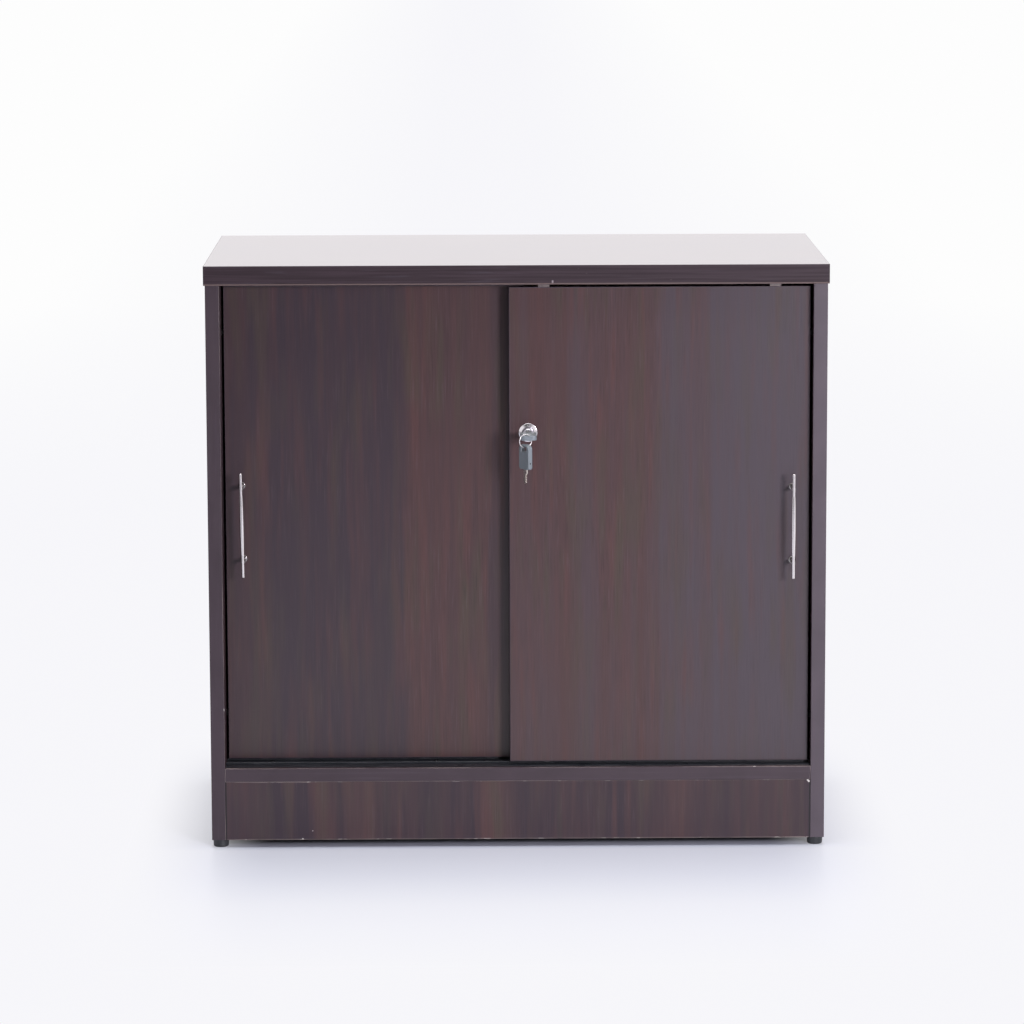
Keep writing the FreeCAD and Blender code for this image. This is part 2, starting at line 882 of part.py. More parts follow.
def coil(radius, length, turns, wire):
    """A wire wound along +Z, on a path of two smoothly joined arcs for each quarter turn."""
    quarter = 2 * math.pi / quarters_in_turn
    rise = length / turns / (2 * math.pi)

    def place(angle):
        return Vector(radius * math.cos(angle), radius * math.sin(angle), rise * angle)

    def heading(angle):
        return Vector(-radius * math.sin(angle), radius * math.cos(angle), rise).normalize()

    arcs = []
    for step in range(turns * quarters_in_turn):
        start, end = place(step * quarter), place((step + 1) * quarter)
        leaving, arriving = heading(step * quarter), heading((step + 1) * quarter)
        chord = end - start
        bend = 2 - 2 * leaving.dot(arriving)
        along = chord.dot(leaving + arriving)
        reach = (math.sqrt(along ** 2 + bend * chord.dot(chord)) - along) / bend
        first_corner, last_corner = start + leaving * reach, end - arriving * reach
        joint = (first_corner + last_corner) / 2
        arcs += [tangent_arc(start, first_corner, joint), tangent_arc(joint, last_corner, end)]
    section = Part.Wire(Part.makeCircle(wire / 2, place(0), heading(0)))
    return Part.Wire(arcs).makePipeShell([section], True)


def lock_spring():
    """A coil between the plunger's collar and the housing's rear wall."""
    start = collar_end + spring_wire / 2 + press_gap
    end = door_thickness - barrel_rear_wall - spring_wire / 2 - press_gap
    spring = coil(spring_diameter / 2, end - start, spring_turns, spring_wire)
    spring.Placement = Placement(lock_at(start), FreeCAD.Rotation(up, back))
    return spring


def lock_core():
    front = lock_at(-plunger_proud)
    core = rod(front, back, core_diameter, core_length)
    half = blade_width / 2 + seat_gap
    side = blade_thickness / 2 + seat_gap
    x, y, z = front
    keyway = block(x - half, x + half, y, y + blade_in_lock + seat_gap, z - side, z + side)
    return core.cut(keyway)


def strike_place():
    """The middle of the strike plate's rear face, on the left door beside its right edge."""
    sign, face, tilt = doors["left"]
    return Vector(door_x(sign, door_width - strike_width / 2), face, lock_z)


def strike_screw_points():
    face = strike_place() - back * strike_thickness
    return [face + up * (sign * strike_screw_spacing / 2) for sign in (-1, 1)]


def strike_plate():
    x, y, z = strike_place()
    half = strike_width / 2
    tall = strike_height / 2
    plate = block(x - half, x + half, y - strike_thickness, y, z - tall, z + tall)
    screws = [countersunk_hole(at, back, strike_screw) for at in strike_screw_points()]
    return plate.cut(screws)


def strike_screws():
    return group([countersunk_screw(at, back, strike_screw) for at in strike_screw_points()])


# Keys, each built along +X with its width along Y, then put in its place

def placed_key(solid, at, along, across):
    """Moves a key piece so that its outer end, its length and its width lie as given."""
    normal = along.cross(across)
    solid.Placement = Placement(Matrix(
        along.x, across.x, normal.x, at.x,
        along.y, across.y, normal.y, at.y,
        along.z, across.z, normal.z, at.z,
    ))
    return solid


def key_head_form():
    side = key_head_width / 2
    half = key_head_thickness / 2
    head = block(0, key_head_length, -side, side, -half, half)

    def on_a_face(edge):
        return at_level(edge, "z", half) or at_level(edge, "z", -half)

    head = rounded(head, key_outer_round, lambda e: runs_along(e, up) and at_level(e, "x", 0))
    head = rounded(head, key_inner_round, lambda e: runs_along(e, up) and at_level(e, "x", key_head_length))
    head = rounded(head, key_head_edge_round, on_a_face)
    slot_side = key_slot_width / 2
    slot = block(key_bar, key_bar + key_slot_length, -slot_side, slot_side, -half, half)
    room = slot.BoundBox
    room.enlarge(same_place)
    head = rounded(head.cut(slot), key_slot_round, lambda e: on_a_face(e) and room.isInside(e.CenterOfMass))
    pocket_side = blade_width / 2 + press_gap
    pocket_half = blade_thickness / 2 + press_gap
    pocket_start = key_head_length - blade_in_head - press_gap
    pocket = block(pocket_start, key_head_length, -pocket_side, pocket_side, -pocket_half, pocket_half)
    return head.cut(pocket)


def key_blade_form():
    start = key_head_length - blade_in_head
    end = key_head_length + key_neck + blade_in_lock
    side = blade_width / 2
    half = blade_thickness / 2
    blade = block(start, end, -side, side, -half, half)
    blade = blade.cut(block(end - blade_step_length, end, side - blade_step, side, -half, half))
    tip = [e for e in blade.Edges if runs_along(e, up) and at_level(e, "x", end)]
    return blade.makeChamfer(blade_tip, tip)


def key_end():
    """The outer end of the key in the lock."""
    return lock_at(-plunger_proud - key_neck - key_head_length)


def ring_centre():
    """The ring hangs on the bar at the key's outer end, just clear of the bar's two upper edges."""
    bar_middle = key_end() + back * (key_bar / 2)
    reach = ring_diameter / 2 - ring_wire / 2 - free_gap
    across = key_bar / 2 / math.sin(math.radians(ring_turn))
    drop = math.sqrt(reach ** 2 - across ** 2)
    return bar_middle + up * (key_head_thickness / 2 - drop) - right * ring_sideways


def ring_side():
    """The level direction in the ring's plane, towards its right side."""
    angle = math.radians(ring_turn)
    return Vector(math.cos(angle), math.sin(angle), 0)


def key_ring():
    return Part.makeTorus(ring_diameter / 2, ring_wire / 2, ring_centre(), ring_side().cross(up))


def spare_key_end():
    """The outer end of the spare key, whose bar hangs on the lowest stretch of the ring."""
    reach = ring_diameter / 2 - ring_wire / 2 - free_gap
    drop = math.sqrt(reach ** 2 - (key_head_thickness / 2) ** 2)
    return ring_centre() - up * (drop - key_bar)


def spare_key_across():
    return Vector(math.cos(spare_angle), -math.sin(spare_angle), 0)


def key_head():
    return placed_key(key_head_form(), key_end(), back, right)


def key_blade():
    return placed_key(key_blade_form(), key_end(), back, right)


def spare_key_head():
    return placed_key(key_head_form(), spare_key_end(), up * -1, spare_key_across())


def spare_key_blade():
    return placed_key(key_blade_form(), spare_key_end(), up * -1, spare_key_across())


def pieces():
    """Every piece of the cabinet, by name."""
    made = {
        "top_panel": top_panel(),
        "top_edge_band": top_edge_band(),
        "left_side_panel": side_panel("left_side_panel", -1),
        "right_side_panel": side_panel("right_side_panel", 1),
        "side_edge_bands": side_edge_bands(),
        "bottom_panel": bottom_panel(),
        "bottom_edge_band": bottom_edge_band(),
        "plinth_board": plinth("plinth_board"),
        "rear_plinth_board": plinth("rear_plinth_board"),
        "back_panel": back_panel(),
        "shelf": shelf(),
        "shelf_edge_band": shelf_edge_band(),
        "shelf_pins": shelf_pins(),
        "cam_locks": cam_locks(),
        "cam_bolts": cam_bolts(),
        "dowels": dowels(),
        "feet": feet(),
        "foot_nails": foot_nails(),
        "door_buffers": door_buffers(),
        "bottom_track": bottom_track(),
        "bottom_track_screws": bottom_track_screws(),
        "top_track": top_track(),
        "top_track_screws": top_track_screws(),
        "strike_plate": strike_plate(),
        "strike_screws": strike_screws(),
        "lock_rosette": lock_rosette(),
        "lock_housing": lock_housing(),
        "lock_screws": lock_screws(),
        "lock_plunger": lock_plunger(),
        "lock_spring": lock_spring(),
        "lock_core": lock_core(),
        "key_head": key_head(),
        "key_blade": key_blade(),
        "key_ring": key_ring(),
        "spare_key_head": spare_key_head(),
        "spare_key_blade": spare_key_blade(),
    }
    for door in doors:
        made[f"{door}_door_panel"] = door_panel(door)
        made[f"{door}_door_edge_band"] = door_edge_band(door)
        made[f"{door}_handle_bar"] = handle_bar(door)
        made[f"{door}_handle_posts"] = handle_posts(door)
        made[f"{door}_handle_screws"] = handle_screws(door)
        made[f"{door}_door_roller_housings"] = roller_housings(door)
        made[f"{door}_door_roller_screws"] = roller_screws(door)
        made[f"{door}_door_axles"] = roller_axles(door)
        made[f"{door}_door_guides"] = top_guides(door)
        for end, at in zip(("left", "right"), roller_places(door)):
            made[f"{door}_door_{end}_wheel"] = roller_wheel(at)
    return made


os.makedirs("parts", exist_ok=True)
for name, shape in pieces().items():
    shape.exportStep(f"parts/{name}.step")
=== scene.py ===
import math

import bmesh
import bpy
from mathutils import Matrix, Vector


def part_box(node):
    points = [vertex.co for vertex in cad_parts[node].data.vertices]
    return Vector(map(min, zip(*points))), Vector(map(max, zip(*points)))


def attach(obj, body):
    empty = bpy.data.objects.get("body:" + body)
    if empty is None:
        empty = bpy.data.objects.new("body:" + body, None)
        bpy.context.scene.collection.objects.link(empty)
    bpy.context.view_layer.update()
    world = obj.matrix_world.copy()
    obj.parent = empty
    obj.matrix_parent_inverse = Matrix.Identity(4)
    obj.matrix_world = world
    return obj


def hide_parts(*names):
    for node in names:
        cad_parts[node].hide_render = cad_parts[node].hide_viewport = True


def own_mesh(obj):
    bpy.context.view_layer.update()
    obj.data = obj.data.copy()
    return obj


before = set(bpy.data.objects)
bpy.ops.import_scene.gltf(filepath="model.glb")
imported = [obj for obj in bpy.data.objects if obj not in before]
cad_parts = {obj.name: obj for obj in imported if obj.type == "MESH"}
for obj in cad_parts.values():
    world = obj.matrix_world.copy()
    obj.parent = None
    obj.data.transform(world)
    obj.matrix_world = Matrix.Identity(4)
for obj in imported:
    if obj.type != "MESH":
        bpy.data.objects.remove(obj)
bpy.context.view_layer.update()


# Side panels: two upright 18 mm chipboards, faced on both sides with a dark printed woodgrain and
# joined to the other boards by cams and dowels. Their rear, upper and lower edges stay raw, so the
# pressed chips show there.
X, Y, Z = 0, 1, 2
MM = 0.001


def feed(tree, socket, value):
    """Links a socket to another, or sets its value."""
    if isinstance(value, bpy.types.NodeSocket):
        tree.links.new(value, socket)
    else:
        socket.default_value = value


def add(tree, kind, inputs, **settings):
    """Adds a node with its settings and its inputs, and returns its first output."""
    made = tree.nodes.new(kind)
    for name, value in settings.items():
        setattr(made, name, value)
    for name, value in inputs.items():
        feed(tree, made.inputs[name], value)
    return made.outputs[0]


def maths(tree, operation, first, second=0.0):
    """One sum of two values."""
    return add(tree, "ShaderNodeMath", {0: first, 1: second}, operation=operation)


def mixed(tree, share, first, second):
    """Two colours mixed by a share."""
    made = tree.nodes.new("ShaderNodeMix")
    made.data_type = "RGBA"
    sockets = [s for s in made.inputs if s.enabled]
    for socket, value in zip(sockets, (share, first, second)):
        ready = isinstance(value, (float, bpy.types.NodeSocket))
        feed(tree, socket, value if ready else (*value, 1.0))
    return next(s for s in made.outputs if s.enabled)


def ranged(tree, value, low, high, to_low=0.0, to_high=1.0, course="LINEAR"):
    """A value stretched from one range to another, and held inside it."""
    inputs = {"Value": value, "From Min": low, "From Max": high, "To Min": to_low, "To Max": to_high}
    return add(tree, "ShaderNodeMapRange", inputs, interpolation_type=course)


def ramp(tree, share, stops):
    """A level that follows given (share, level) stops."""
    made = tree.nodes.new("ShaderNodeValToRGB")
    points = made.color_ramp.elements
    points.remove(points[1])
    points[0].position, first = stops[0]
    points[0].color = (first, first, first, 1.0)
    for place, level in stops[1:]:
        points.new(place).color = (level, level, level, 1.0)
    feed(tree, made.inputs[0], share)
    return made.outputs[0]


def axes_of(tree, place):
    """The X, Y and Z of a place or a direction, each as a value."""
    parts = tree.nodes.new("ShaderNodeSeparateXYZ")
    tree.links.new(place, parts.inputs[0])
    return parts.outputs


def new_finish(name, roughness, **sockets):
    """A material with its node tree, its shader and the surface's own coordinates."""
    finish = bpy.data.materials.new(name)
    finish.use_nodes = True
    tree = finish.node_tree
    shader = tree.nodes["Principled BSDF"]
    shader.inputs["Roughness"].default_value = roughness
    for socket, value in sockets.items():
        shader.inputs[socket.replace("_", " ")].default_value = value
    place = tree.nodes.new("ShaderNodeTexCoord").outputs["Object"]
    return finish, tree, shader, place


def grain(tree, place, size, seed, detail=3.0):
    """Noise in patches of a size in metres, given as one number or along X, Y and Z."""
    sizes = (size, size, size) if isinstance(size, float) else size
    inputs = {"Vector": place, "Location": (seed, seed, seed), "Scale": [1 / s for s in sizes]}
    moved = add(tree, "ShaderNodeMapping", inputs)
    return add(tree, "ShaderNodeTexNoise", {"Vector": moved, "Scale": 1.0, "Detail": detail})


def streaks(tree, place, width, length, along, seed, detail=3.0):
    """Noise in streaks, narrow across the grain and long along it."""
    size = [width, width, width]
    size[along] = length
    return grain(tree, place, size, seed, detail)


def bumped(tree, shader, height, depth, strength=0.5):
    """Gives a shader the relief of a height, in metres deep."""
    inputs = {"Height": height, "Distance": depth, "Strength": strength}
    feed(tree, shader.inputs["Normal"], add(tree, "ShaderNodeBump", inputs))


def facing(tree, axis, sign):
    """1 where the surface faces along an axis, else 0."""
    normal = tree.nodes.new("ShaderNodeTexCoord").outputs["Normal"]
    return ranged(tree, axes_of(tree, normal)[axis], 0.7 * sign, 0.8 * sign)


pale_flake = (0.42, 0.29, 0.17)
dark_flake = (0.20, 0.12, 0.06)
wood_dust = (0.34, 0.24, 0.15)
flakes_per_metre = 420


def chipboard(tree, place):
    """Pressed wood chips, as they show on a raw sawn edge."""
    chips = add(tree, "ShaderNodeTexVoronoi", {"Vector": place, "Scale": flakes_per_metre})
    dust = grain(tree, place, 0.004, 3.1)
    return mixed(tree, ranged(tree, dust, 0.35, 0.7), mixed(tree, chips, pale_flake, dark_flake), wood_dust)


cool_brown = (0.040, 0.027, 0.035)
warm_brown = (0.068, 0.034, 0.034)
red_streak = (0.089, 0.039, 0.036)
olive_streak = (0.062, 0.046, 0.034)
dark_pore = (0.018, 0.011, 0.015)
pale_fibre = (0.125, 0.092, 0.098)
uneven_shine = 0.006


def woodgrain(name, along, across, span, figure, seed, raw=(), cool=cool_brown, roughness=0.29,
              shine=0.5, **sockets):
    """Printed woodgrain: broad warm and cool figure, narrow coloured streaks, short pores and fibres."""
    finish, tree, shader, place = new_finish(name, roughness, Specular_IOR_Level=shine, **sockets)
    wander = streaks(tree, place, 0.030, 0.50, along, seed)
    level = ranged(tree, axes_of(tree, place)[across], *span)
    level = maths(tree, "ADD", level, ranged(tree, wander, 0.0, 1.0, -0.03, 0.03))
    broad = streaks(tree, place, 0.016, 0.60, along, seed + 1.7)
    warmth = maths(tree, "ADD", ramp(tree, level, figure), ranged(tree, broad, 0.3, 0.7, -0.30, 0.30))
    colour = mixed(tree, ranged(tree, warmth, 0.0, 1.0), cool, warm_brown)
    patch = streaks(tree, place, 0.07, 0.22, along, seed + 15.0)
    lively = ranged(tree, warmth, 0.0, 1.0, 0.50, 0.95)
    lively = maths(tree, "MULTIPLY", lively, ranged(tree, patch, 0.35, 0.65, 0.35, 1.0))
    reds = streaks(tree, place, 0.010, 0.17, along, seed + 4.2, 1.0)
    olives = streaks(tree, place, 0.013, 0.15, along, seed + 7.9, 1.0)
    fibre = streaks(tree, place, 0.0016, 0.045, along, seed + 9.3, 4.0)
    inks = (
        (ranged(tree, reds, 0.50, 0.72), red_streak),
        (ranged(tree, olives, 0.50, 0.72, 0.0, 0.9), olive_streak),
        (ranged(tree, fibre, 0.27, 0.48, 0.50, 0.0), dark_pore),
        (ranged(tree, fibre, 0.57, 0.75, 0.0, 0.40), pale_fibre),
    )
    for share, ink in inks:
        colour = mixed(tree, maths(tree, "MULTIPLY", share, lively), colour, ink)
    for axis, sign in raw:
        colour = mixed(tree, facing(tree, axis, sign), colour, chipboard(tree, place))
    feed(tree, shader.inputs["Base Color"], colour)
    cloud = maths(tree, "MULTIPLY", fibre, grain(tree, place, 0.08, seed + 12.5))
    duller, glossier = roughness + uneven_shine, roughness - uneven_shine
    feed(tree, shader.inputs["Roughness"], ranged(tree, cloud, 0.12, 0.38, duller, glossier))
    bumped(tree, shader, fibre, 0.02 * MM, 0.2)
    return finish


def dress(finish, *nodes):
    """Gives CAD nodes a finish."""
    for name in nodes:
        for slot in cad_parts[name].material_slots:
            slot.material = finish


side_low, side_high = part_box("left_side_panel")
side_span = (side_low.y, side_high.y)
side_figure = [(0.0, 0.2), (0.22, 0.1), (0.25, 0.8), (0.45, 0.7), (0.52, 0.2), (0.8, 0.3), (1.0, 0.6)]
raw_side_edges = ((Y, 1), (Z, -1), (Z, 1))
side_finish = woodgrain("side_woodgrain", Z, Y, side_span, side_figure, 2.0, raw_side_edges)
dress(side_finish, "left_side_panel", "right_side_panel")


# Side lippings: a plain dark plastic strip, 1 mm thick, glued to the front edge of each side panel.
# Its arrises are scraped round. The left strip's inner arris has a broken pale line, partly rubbed
# wear and partly a painted highlight, with a few chips, and the right strip's colour is painted paler
# and more lilac, a painted sheen.
def in_scene(name, data):
    """A new object, in the scene."""
    made = bpy.data.objects.new(name, data)
    bpy.context.scene.collection.objects.link(made)
    return made


def shaped(name, bm, finishes, body, slot, *nodes, sharp=35):
    """Makes a finished piece from a bmesh: it rides on a body in place of CAD nodes."""
    mesh = bpy.data.meshes.new(name)
    for face in bm.faces:
        face.smooth = True
    bm.to_mesh(mesh)
    bm.free()
    mesh.set_sharp_from_angle(angle=math.radians(sharp))
    for finish in finishes:
        mesh.materials.append(finish)
    made = in_scene(name, mesh)
    made.modifiers.new("even_shading", "WEIGHTED_NORMAL").keep_sharp = True
    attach(made, body)
    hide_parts(*nodes)
    return made


def add_block(bm, low, high):
    """A block between two corners. Returns its vertices."""
    placed = Matrix.LocRotScale((low + high) / 2, None, high - low)
    return bmesh.ops.create_cube(bm, size=1, matrix=placed)["verts"]


def round_edges(bm, edges, radius, segments=3):
    """Rounds edges over a radius."""
    bmesh.ops.bevel(bm, geom=edges, offset=radius, offset_type="OFFSET", affect="EDGES",
                    segments=segments, profile=0.5, material=-1)


arris_round = 0.6 * MM
square_on = 0.999


def add_lipping(bm, low, high, axis, sign):
    """A strip whose outer face looks along an axis, with rounded outer arrises as its second material."""
    old = set(bm.faces)
    corners = add_block(bm, low, high)
    outer = (low if sign < 0 else high)[axis]
    edges = {e for v in corners for e in v.link_edges}
    edges = [e for e in edges if all(abs(v.co[axis] - outer) < arris_round / 100 for v in e.verts)]
    round_edges(bm, edges, arris_round)
    bm.normal_update()
    for face in set(bm.faces) - old:
        face.material_index = int(max(abs(n) for n in face.normal) < square_on)


band_brown = (0.050, 0.033, 0.042)
band_smear = (0.084, 0.063, 0.080)
strip_sheen_brown = (0.083, 0.064, 0.078)
pale_wear_and_highlight = (0.30, 0.25, 0.23)
white_chip = (0.72, 0.68, 0.62)
band_roughness = 0.42


def edge_band(name, along, seed, brown=band_brown):
    """Plain dark plastic band, faintly clouded, with long smears."""
    finish, tree, shader, place = new_finish(name, band_roughness, Specular_IOR_Level=0.45)
    smear = streaks(tree, place, 0.004, 0.12, along, seed)
    cloud = grain(tree, place, 0.05, seed + 2.0)
    darker_brown = [0.86 * part for part in brown]
    colour = mixed(tree, ranged(tree, cloud, 0.35, 0.65), brown, darker_brown)
    colour = mixed(tree, ranged(tree, smear, 0.55, 0.75, 0.0, 0.35), colour, band_smear)
    feed(tree, shader.inputs["Base Color"], colour)
    polish = ranged(tree, smear, 0.3, 0.7, band_roughness + 0.06, band_roughness - 0.08)
    feed(tree, shader.inputs["Roughness"], polish)
    bumped(tree, shader, smear, 0.05 * MM, 0.3)
    return finish


def arris_wear_and_highlight(name, along, seed, paleness=0.5, chips=0.72):
    """The arris of a band: a broken pale line with small white chips. The line is scraped wear, and on the
    left side strip partly a painted highlight.
    """
    finish, tree, shader, place = new_finish(name, 0.6)
    pale_streak = streaks(tree, place, 0.01, 0.09, along, seed)
    colour = mixed(tree, ranged(tree, pale_streak, 0.35, 0.65, 0.0, paleness), band_brown, pale_wear_and_highlight)
    spots = streaks(tree, place, 0.006, 0.011, along, seed + 5.0, 2.0)
    colour = mixed(tree, ranged(tree, spots, chips, chips + 0.02), colour, white_chip)
    feed(tree, shader.inputs["Base Color"], colour)
    bumped(tree, shader, spots, 0.2 * MM)
    return finish


upright_band = edge_band("upright_band", Z, 1.0)
# Its pale line is partly a painted highlight on the arris that faces the lamp, and partly wear; its chips are
# wear.
highlit_upright_arris = arris_wear_and_highlight("highlit_upright_arris", Z, 1.0)
# Painted sheen: the right strip gets a paler, more lilac brown than the left one.
sheen_side_band = edge_band("painted_sheen_upright_band", Z, 4.0, strip_sheen_brown)
side_finishes = [upright_band, highlit_upright_arris, sheen_side_band]
bm = bmesh.new()
strip_low, strip_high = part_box("side_edge_bands")
for panel in ("left_side_panel", "right_side_panel"):
    low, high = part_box(panel)
    strip_start = Vector((low.x, strip_low.y, strip_low.z))
    strip_end = Vector((high.x, strip_high.y, strip_high.z))
    add_lipping(bm, strip_start, strip_end, Y, -1)
for face in bm.faces:
    across = face.calc_center_median().x
    if across > 0:
        face.material_index = side_finishes.index(sheen_side_band)
    elif abs(across - side_high.x) > arris_round:
        face.material_index = side_finishes.index(upright_band)
shaped("side_lippings", bm, side_finishes, "carcass", "dark_edge_band", "side_edge_bands")


# Bottom panel and its front lipping: a chipboard between the sides that carries the doors' track, held
# by cams and dowels. It is faced like the sides, with the grain running across, and only its front
# edge is lipped.
bottom_low, bottom_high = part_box("bottom_panel")
bottom_span = (bottom_low.y, bottom_high.y)
level_figure = [(0.0, 0.3), (0.3, 0.1), (0.34, 0.7), (0.6, 0.5), (0.7, 0.1), (1.0, 0.4)]
raw_rear_edge = ((Y, 1),)
dress(woodgrain("bottom_woodgrain", X, Y, bottom_span, level_figure, 11.0, raw_rear_edge), "bottom_panel")
level_band = edge_band("level_band", X, 6.0)
level_arris = arris_wear_and_highlight("level_arris", X, 6.0, paleness=0.75, chips=0.75)
level_finishes = [level_band, level_arris]
bm = bmesh.new()
add_lipping(bm, *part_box("bottom_edge_band"), Y, -1)
shaped("bottom_lipping", bm, level_finishes, "carcass", "dark_edge_band", "bottom_edge_band")


# Plinth boards: one flush with the front under the bottom panel and one under its rear, held by cams
# and dowels. Both have upright grain. The sawn upper and lower edges of the front one show as broken
# pale lines, and its ends meet the sides in a dark joint.
plinth_low, plinth_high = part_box("plinth_board")
plinth_span = (plinth_low.x, plinth_high.x)
plinth_figure = [(0.0, 0.4), (0.08, 0.0), (0.14, 0.0), (0.16, 0.6), (0.2, 0.2), (0.215, 0.9), (0.25, 0.8),
                 (0.26, 0.2), (0.43, 0.1), (0.45, 0.9), (0.49, 0.7), (0.51, 0.1), (0.72, 0.2), (0.75, 0.7),
                 (0.82, 0.3), (1.0, 0.2)]
plinth_brown = (0.033, 0.020, 0.028)
joint_dark = (0.004, 0.003, 0.004)
plinth_seed = 14.0
sawn_line = 0.7 * MM
joint_inner, joint_outer = 2.0 * MM, 1.3 * MM
upper_wear = [(0.0, 0.15), (0.015, 0.2), (0.018, 0.95), (0.070, 0.9), (0.075, 0.35), (0.087, 0.35),
              (0.090, 0.95), (0.142, 0.9), (0.147, 0.2), (0.5, 0.25), (0.94, 0.2), (0.97, 0.05), (1.0, 0.0)]
lower_wear = [(0.0, 0.7), (0.03, 0.5), (0.50, 0.5), (0.962, 0.5), (0.966, 1.0), (0.990, 1.0), (0.994, 0.3),
              (1.0, 0.2)]
plinth_chips = [
    (plinth_high.x - 3.6 * MM, plinth_high.z - 0.6 * MM, 1.3 * MM),
    (plinth_high.x - 2.2 * MM, plinth_high.z - 2.2 * MM, 1.3 * MM),
    (plinth_low.x + 100.1 * MM, plinth_low.z + 1.2 * MM, 1.1 * MM),
    (plinth_low.x + 113.0 * MM, plinth_low.z + 11.9 * MM, 0.6 * MM),
]


def spot(tree, place, at, radius):
    """The strength of a small round spot about a point, which fades out at its rim."""
    away = tree.nodes.new("ShaderNodeVectorMath")
    away.operation = "DISTANCE"
    feed(tree, away.inputs[0], place)
    feed(tree, away.inputs[1], at)
    return ranged(tree, away.outputs["Value"], 1.25 * radius, 0.75 * radius, 0.0, 0.8)


def plinth_face():
    """Woodgrain with a pale chipped line along the upper and lower edges, dark joints and a few chips."""
    finish = woodgrain("plinth_woodgrain", Z, X, plinth_span, plinth_figure, plinth_seed, cool=plinth_brown)
    tree = finish.node_tree
    shader = tree.nodes["Principled BSDF"]
    colour = shader.inputs["Base Color"].links[0].from_socket
    place = tree.nodes.new("ShaderNodeTexCoord").outputs["Object"]
    parts = axes_of(tree, place)
    along = ranged(tree, parts[X], *plinth_span)
    upper = ranged(tree, parts[Z], plinth_high.z - sawn_line, plinth_high.z - sawn_line / 2)
    upper = maths(tree, "MULTIPLY", upper, ramp(tree, along, upper_wear))
    lower = ranged(tree, parts[Z], plinth_low.z + 2 * sawn_line, plinth_low.z + 1.4 * sawn_line, 0.0, 0.7)
    lower = maths(tree, "MULTIPLY", lower, ramp(tree, along, lower_wear))
    patchy = ranged(tree, grain(tree, place, 0.02, plinth_seed), 0.4, 0.6, 0.5, 1.0)
    sawn = maths(tree, "MULTIPLY", maths(tree, "ADD", upper, lower), patchy)
    colour = mixed(tree, sawn, colour, pale_wear_and_highlight)
    specks = grain(tree, place, (0.010, 0.010, 0.006), plinth_seed + 8.0, 2.0)
    chipped = maths(tree, "MULTIPLY", sawn, ranged(tree, specks, 0.60, 0.64))
    colour = mixed(tree, chipped, colour, white_chip)
    off_middle = maths(tree, "ABSOLUTE", parts[X])
    joint = ranged(tree, off_middle, plinth_high.x - joint_inner, plinth_high.x - joint_outer, 0.0, 0.9)
    colour = mixed(tree, joint, colour, joint_dark)
    for x, z, radius in plinth_chips:
        colour = mixed(tree, spot(tree, place, (x, plinth_low.y, z), radius), colour, white_chip)
    feed(tree, shader.inputs["Base Color"], colour)
    return finish


dress(plinth_face(), "plinth_board")
dress(woodgrain("rear_plinth_woodgrain", Z, X, plinth_span, plinth_figure, 17.0), "rear_plinth_board")


# Back panel: 3 mm brown hardboard, held in grooves in the boards round it.
# It is pressed from wood fibre, so its face is matt, cloudy and finely flecked.
hardboard_brown = (0.17, 0.095, 0.05)
hardboard_tan = (0.21, 0.125, 0.07)
dark_fleck = (0.09, 0.05, 0.028)


def hardboard_finish():
    """Pressed wood fibre with dark flecks."""
    finish, tree, shader, place = new_finish("hardboard_fibre", 0.7)
    fibres = grain(tree, place, (0.0016, 0.003, 0.006), 5.0, 6.0)
    cloud = grain(tree, place, (0.12, 0.12, 0.16), 9.0)
    colour = mixed(tree, ranged(tree, cloud, 0.3, 0.7), hardboard_brown, hardboard_tan)
    colour = mixed(tree, ranged(tree, fibres, 0.35, 0.65, 0.6, 0.0), colour, dark_fleck)
    feed(tree, shader.inputs["Base Color"], colour)
    bumped(tree, shader, fibres, 0.2 * MM, 0.6)
    return finish


dress(hardboard_finish(), "back_panel")


# Top panel and its lippings: a 25 mm board on the sides, with the grain running across the cabinet,
# held by cams and dowels. Its upper face is sealed smooth and mirrors the room at a low angle. A
# printed band is glued round its front and its two ends.
top_low, top_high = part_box("top_panel")
top_span = (top_low.y, top_high.y)
top_figure = [(0.0, 0.5), (0.2, 0.2), (0.22, 0.8), (0.4, 0.4), (0.55, 0.1), (0.75, 0.3), (1.0, 0.6)]
top_finish = woodgrain("top_woodgrain", X, Y, top_span, top_figure, 21.0, raw_rear_edge, roughness=0.20,
                       shine=0.9, Coat_Weight=1.0, Coat_Roughness=0.12)
dress(top_finish, "top_panel")

band_low, band_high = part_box("top_edge_band")
line_dark = (0.027, 0.017, 0.021)
line_brown = (0.044, 0.029, 0.036)
rubbed_lilac = (0.090, 0.076, 0.098)
dull_speck = (0.20, 0.17, 0.16)
rubbed_edge = (0.150, 0.108, 0.100)
dull_chip = (0.30, 0.26, 0.27)
edge_inner, edge_outer = 2.3 * MM, 1.8 * MM
top_chip_x, top_chip_radius = 46.0 * MM, 1.1 * MM
top_chip_heights = (3.0 * MM, 4.6 * MM)


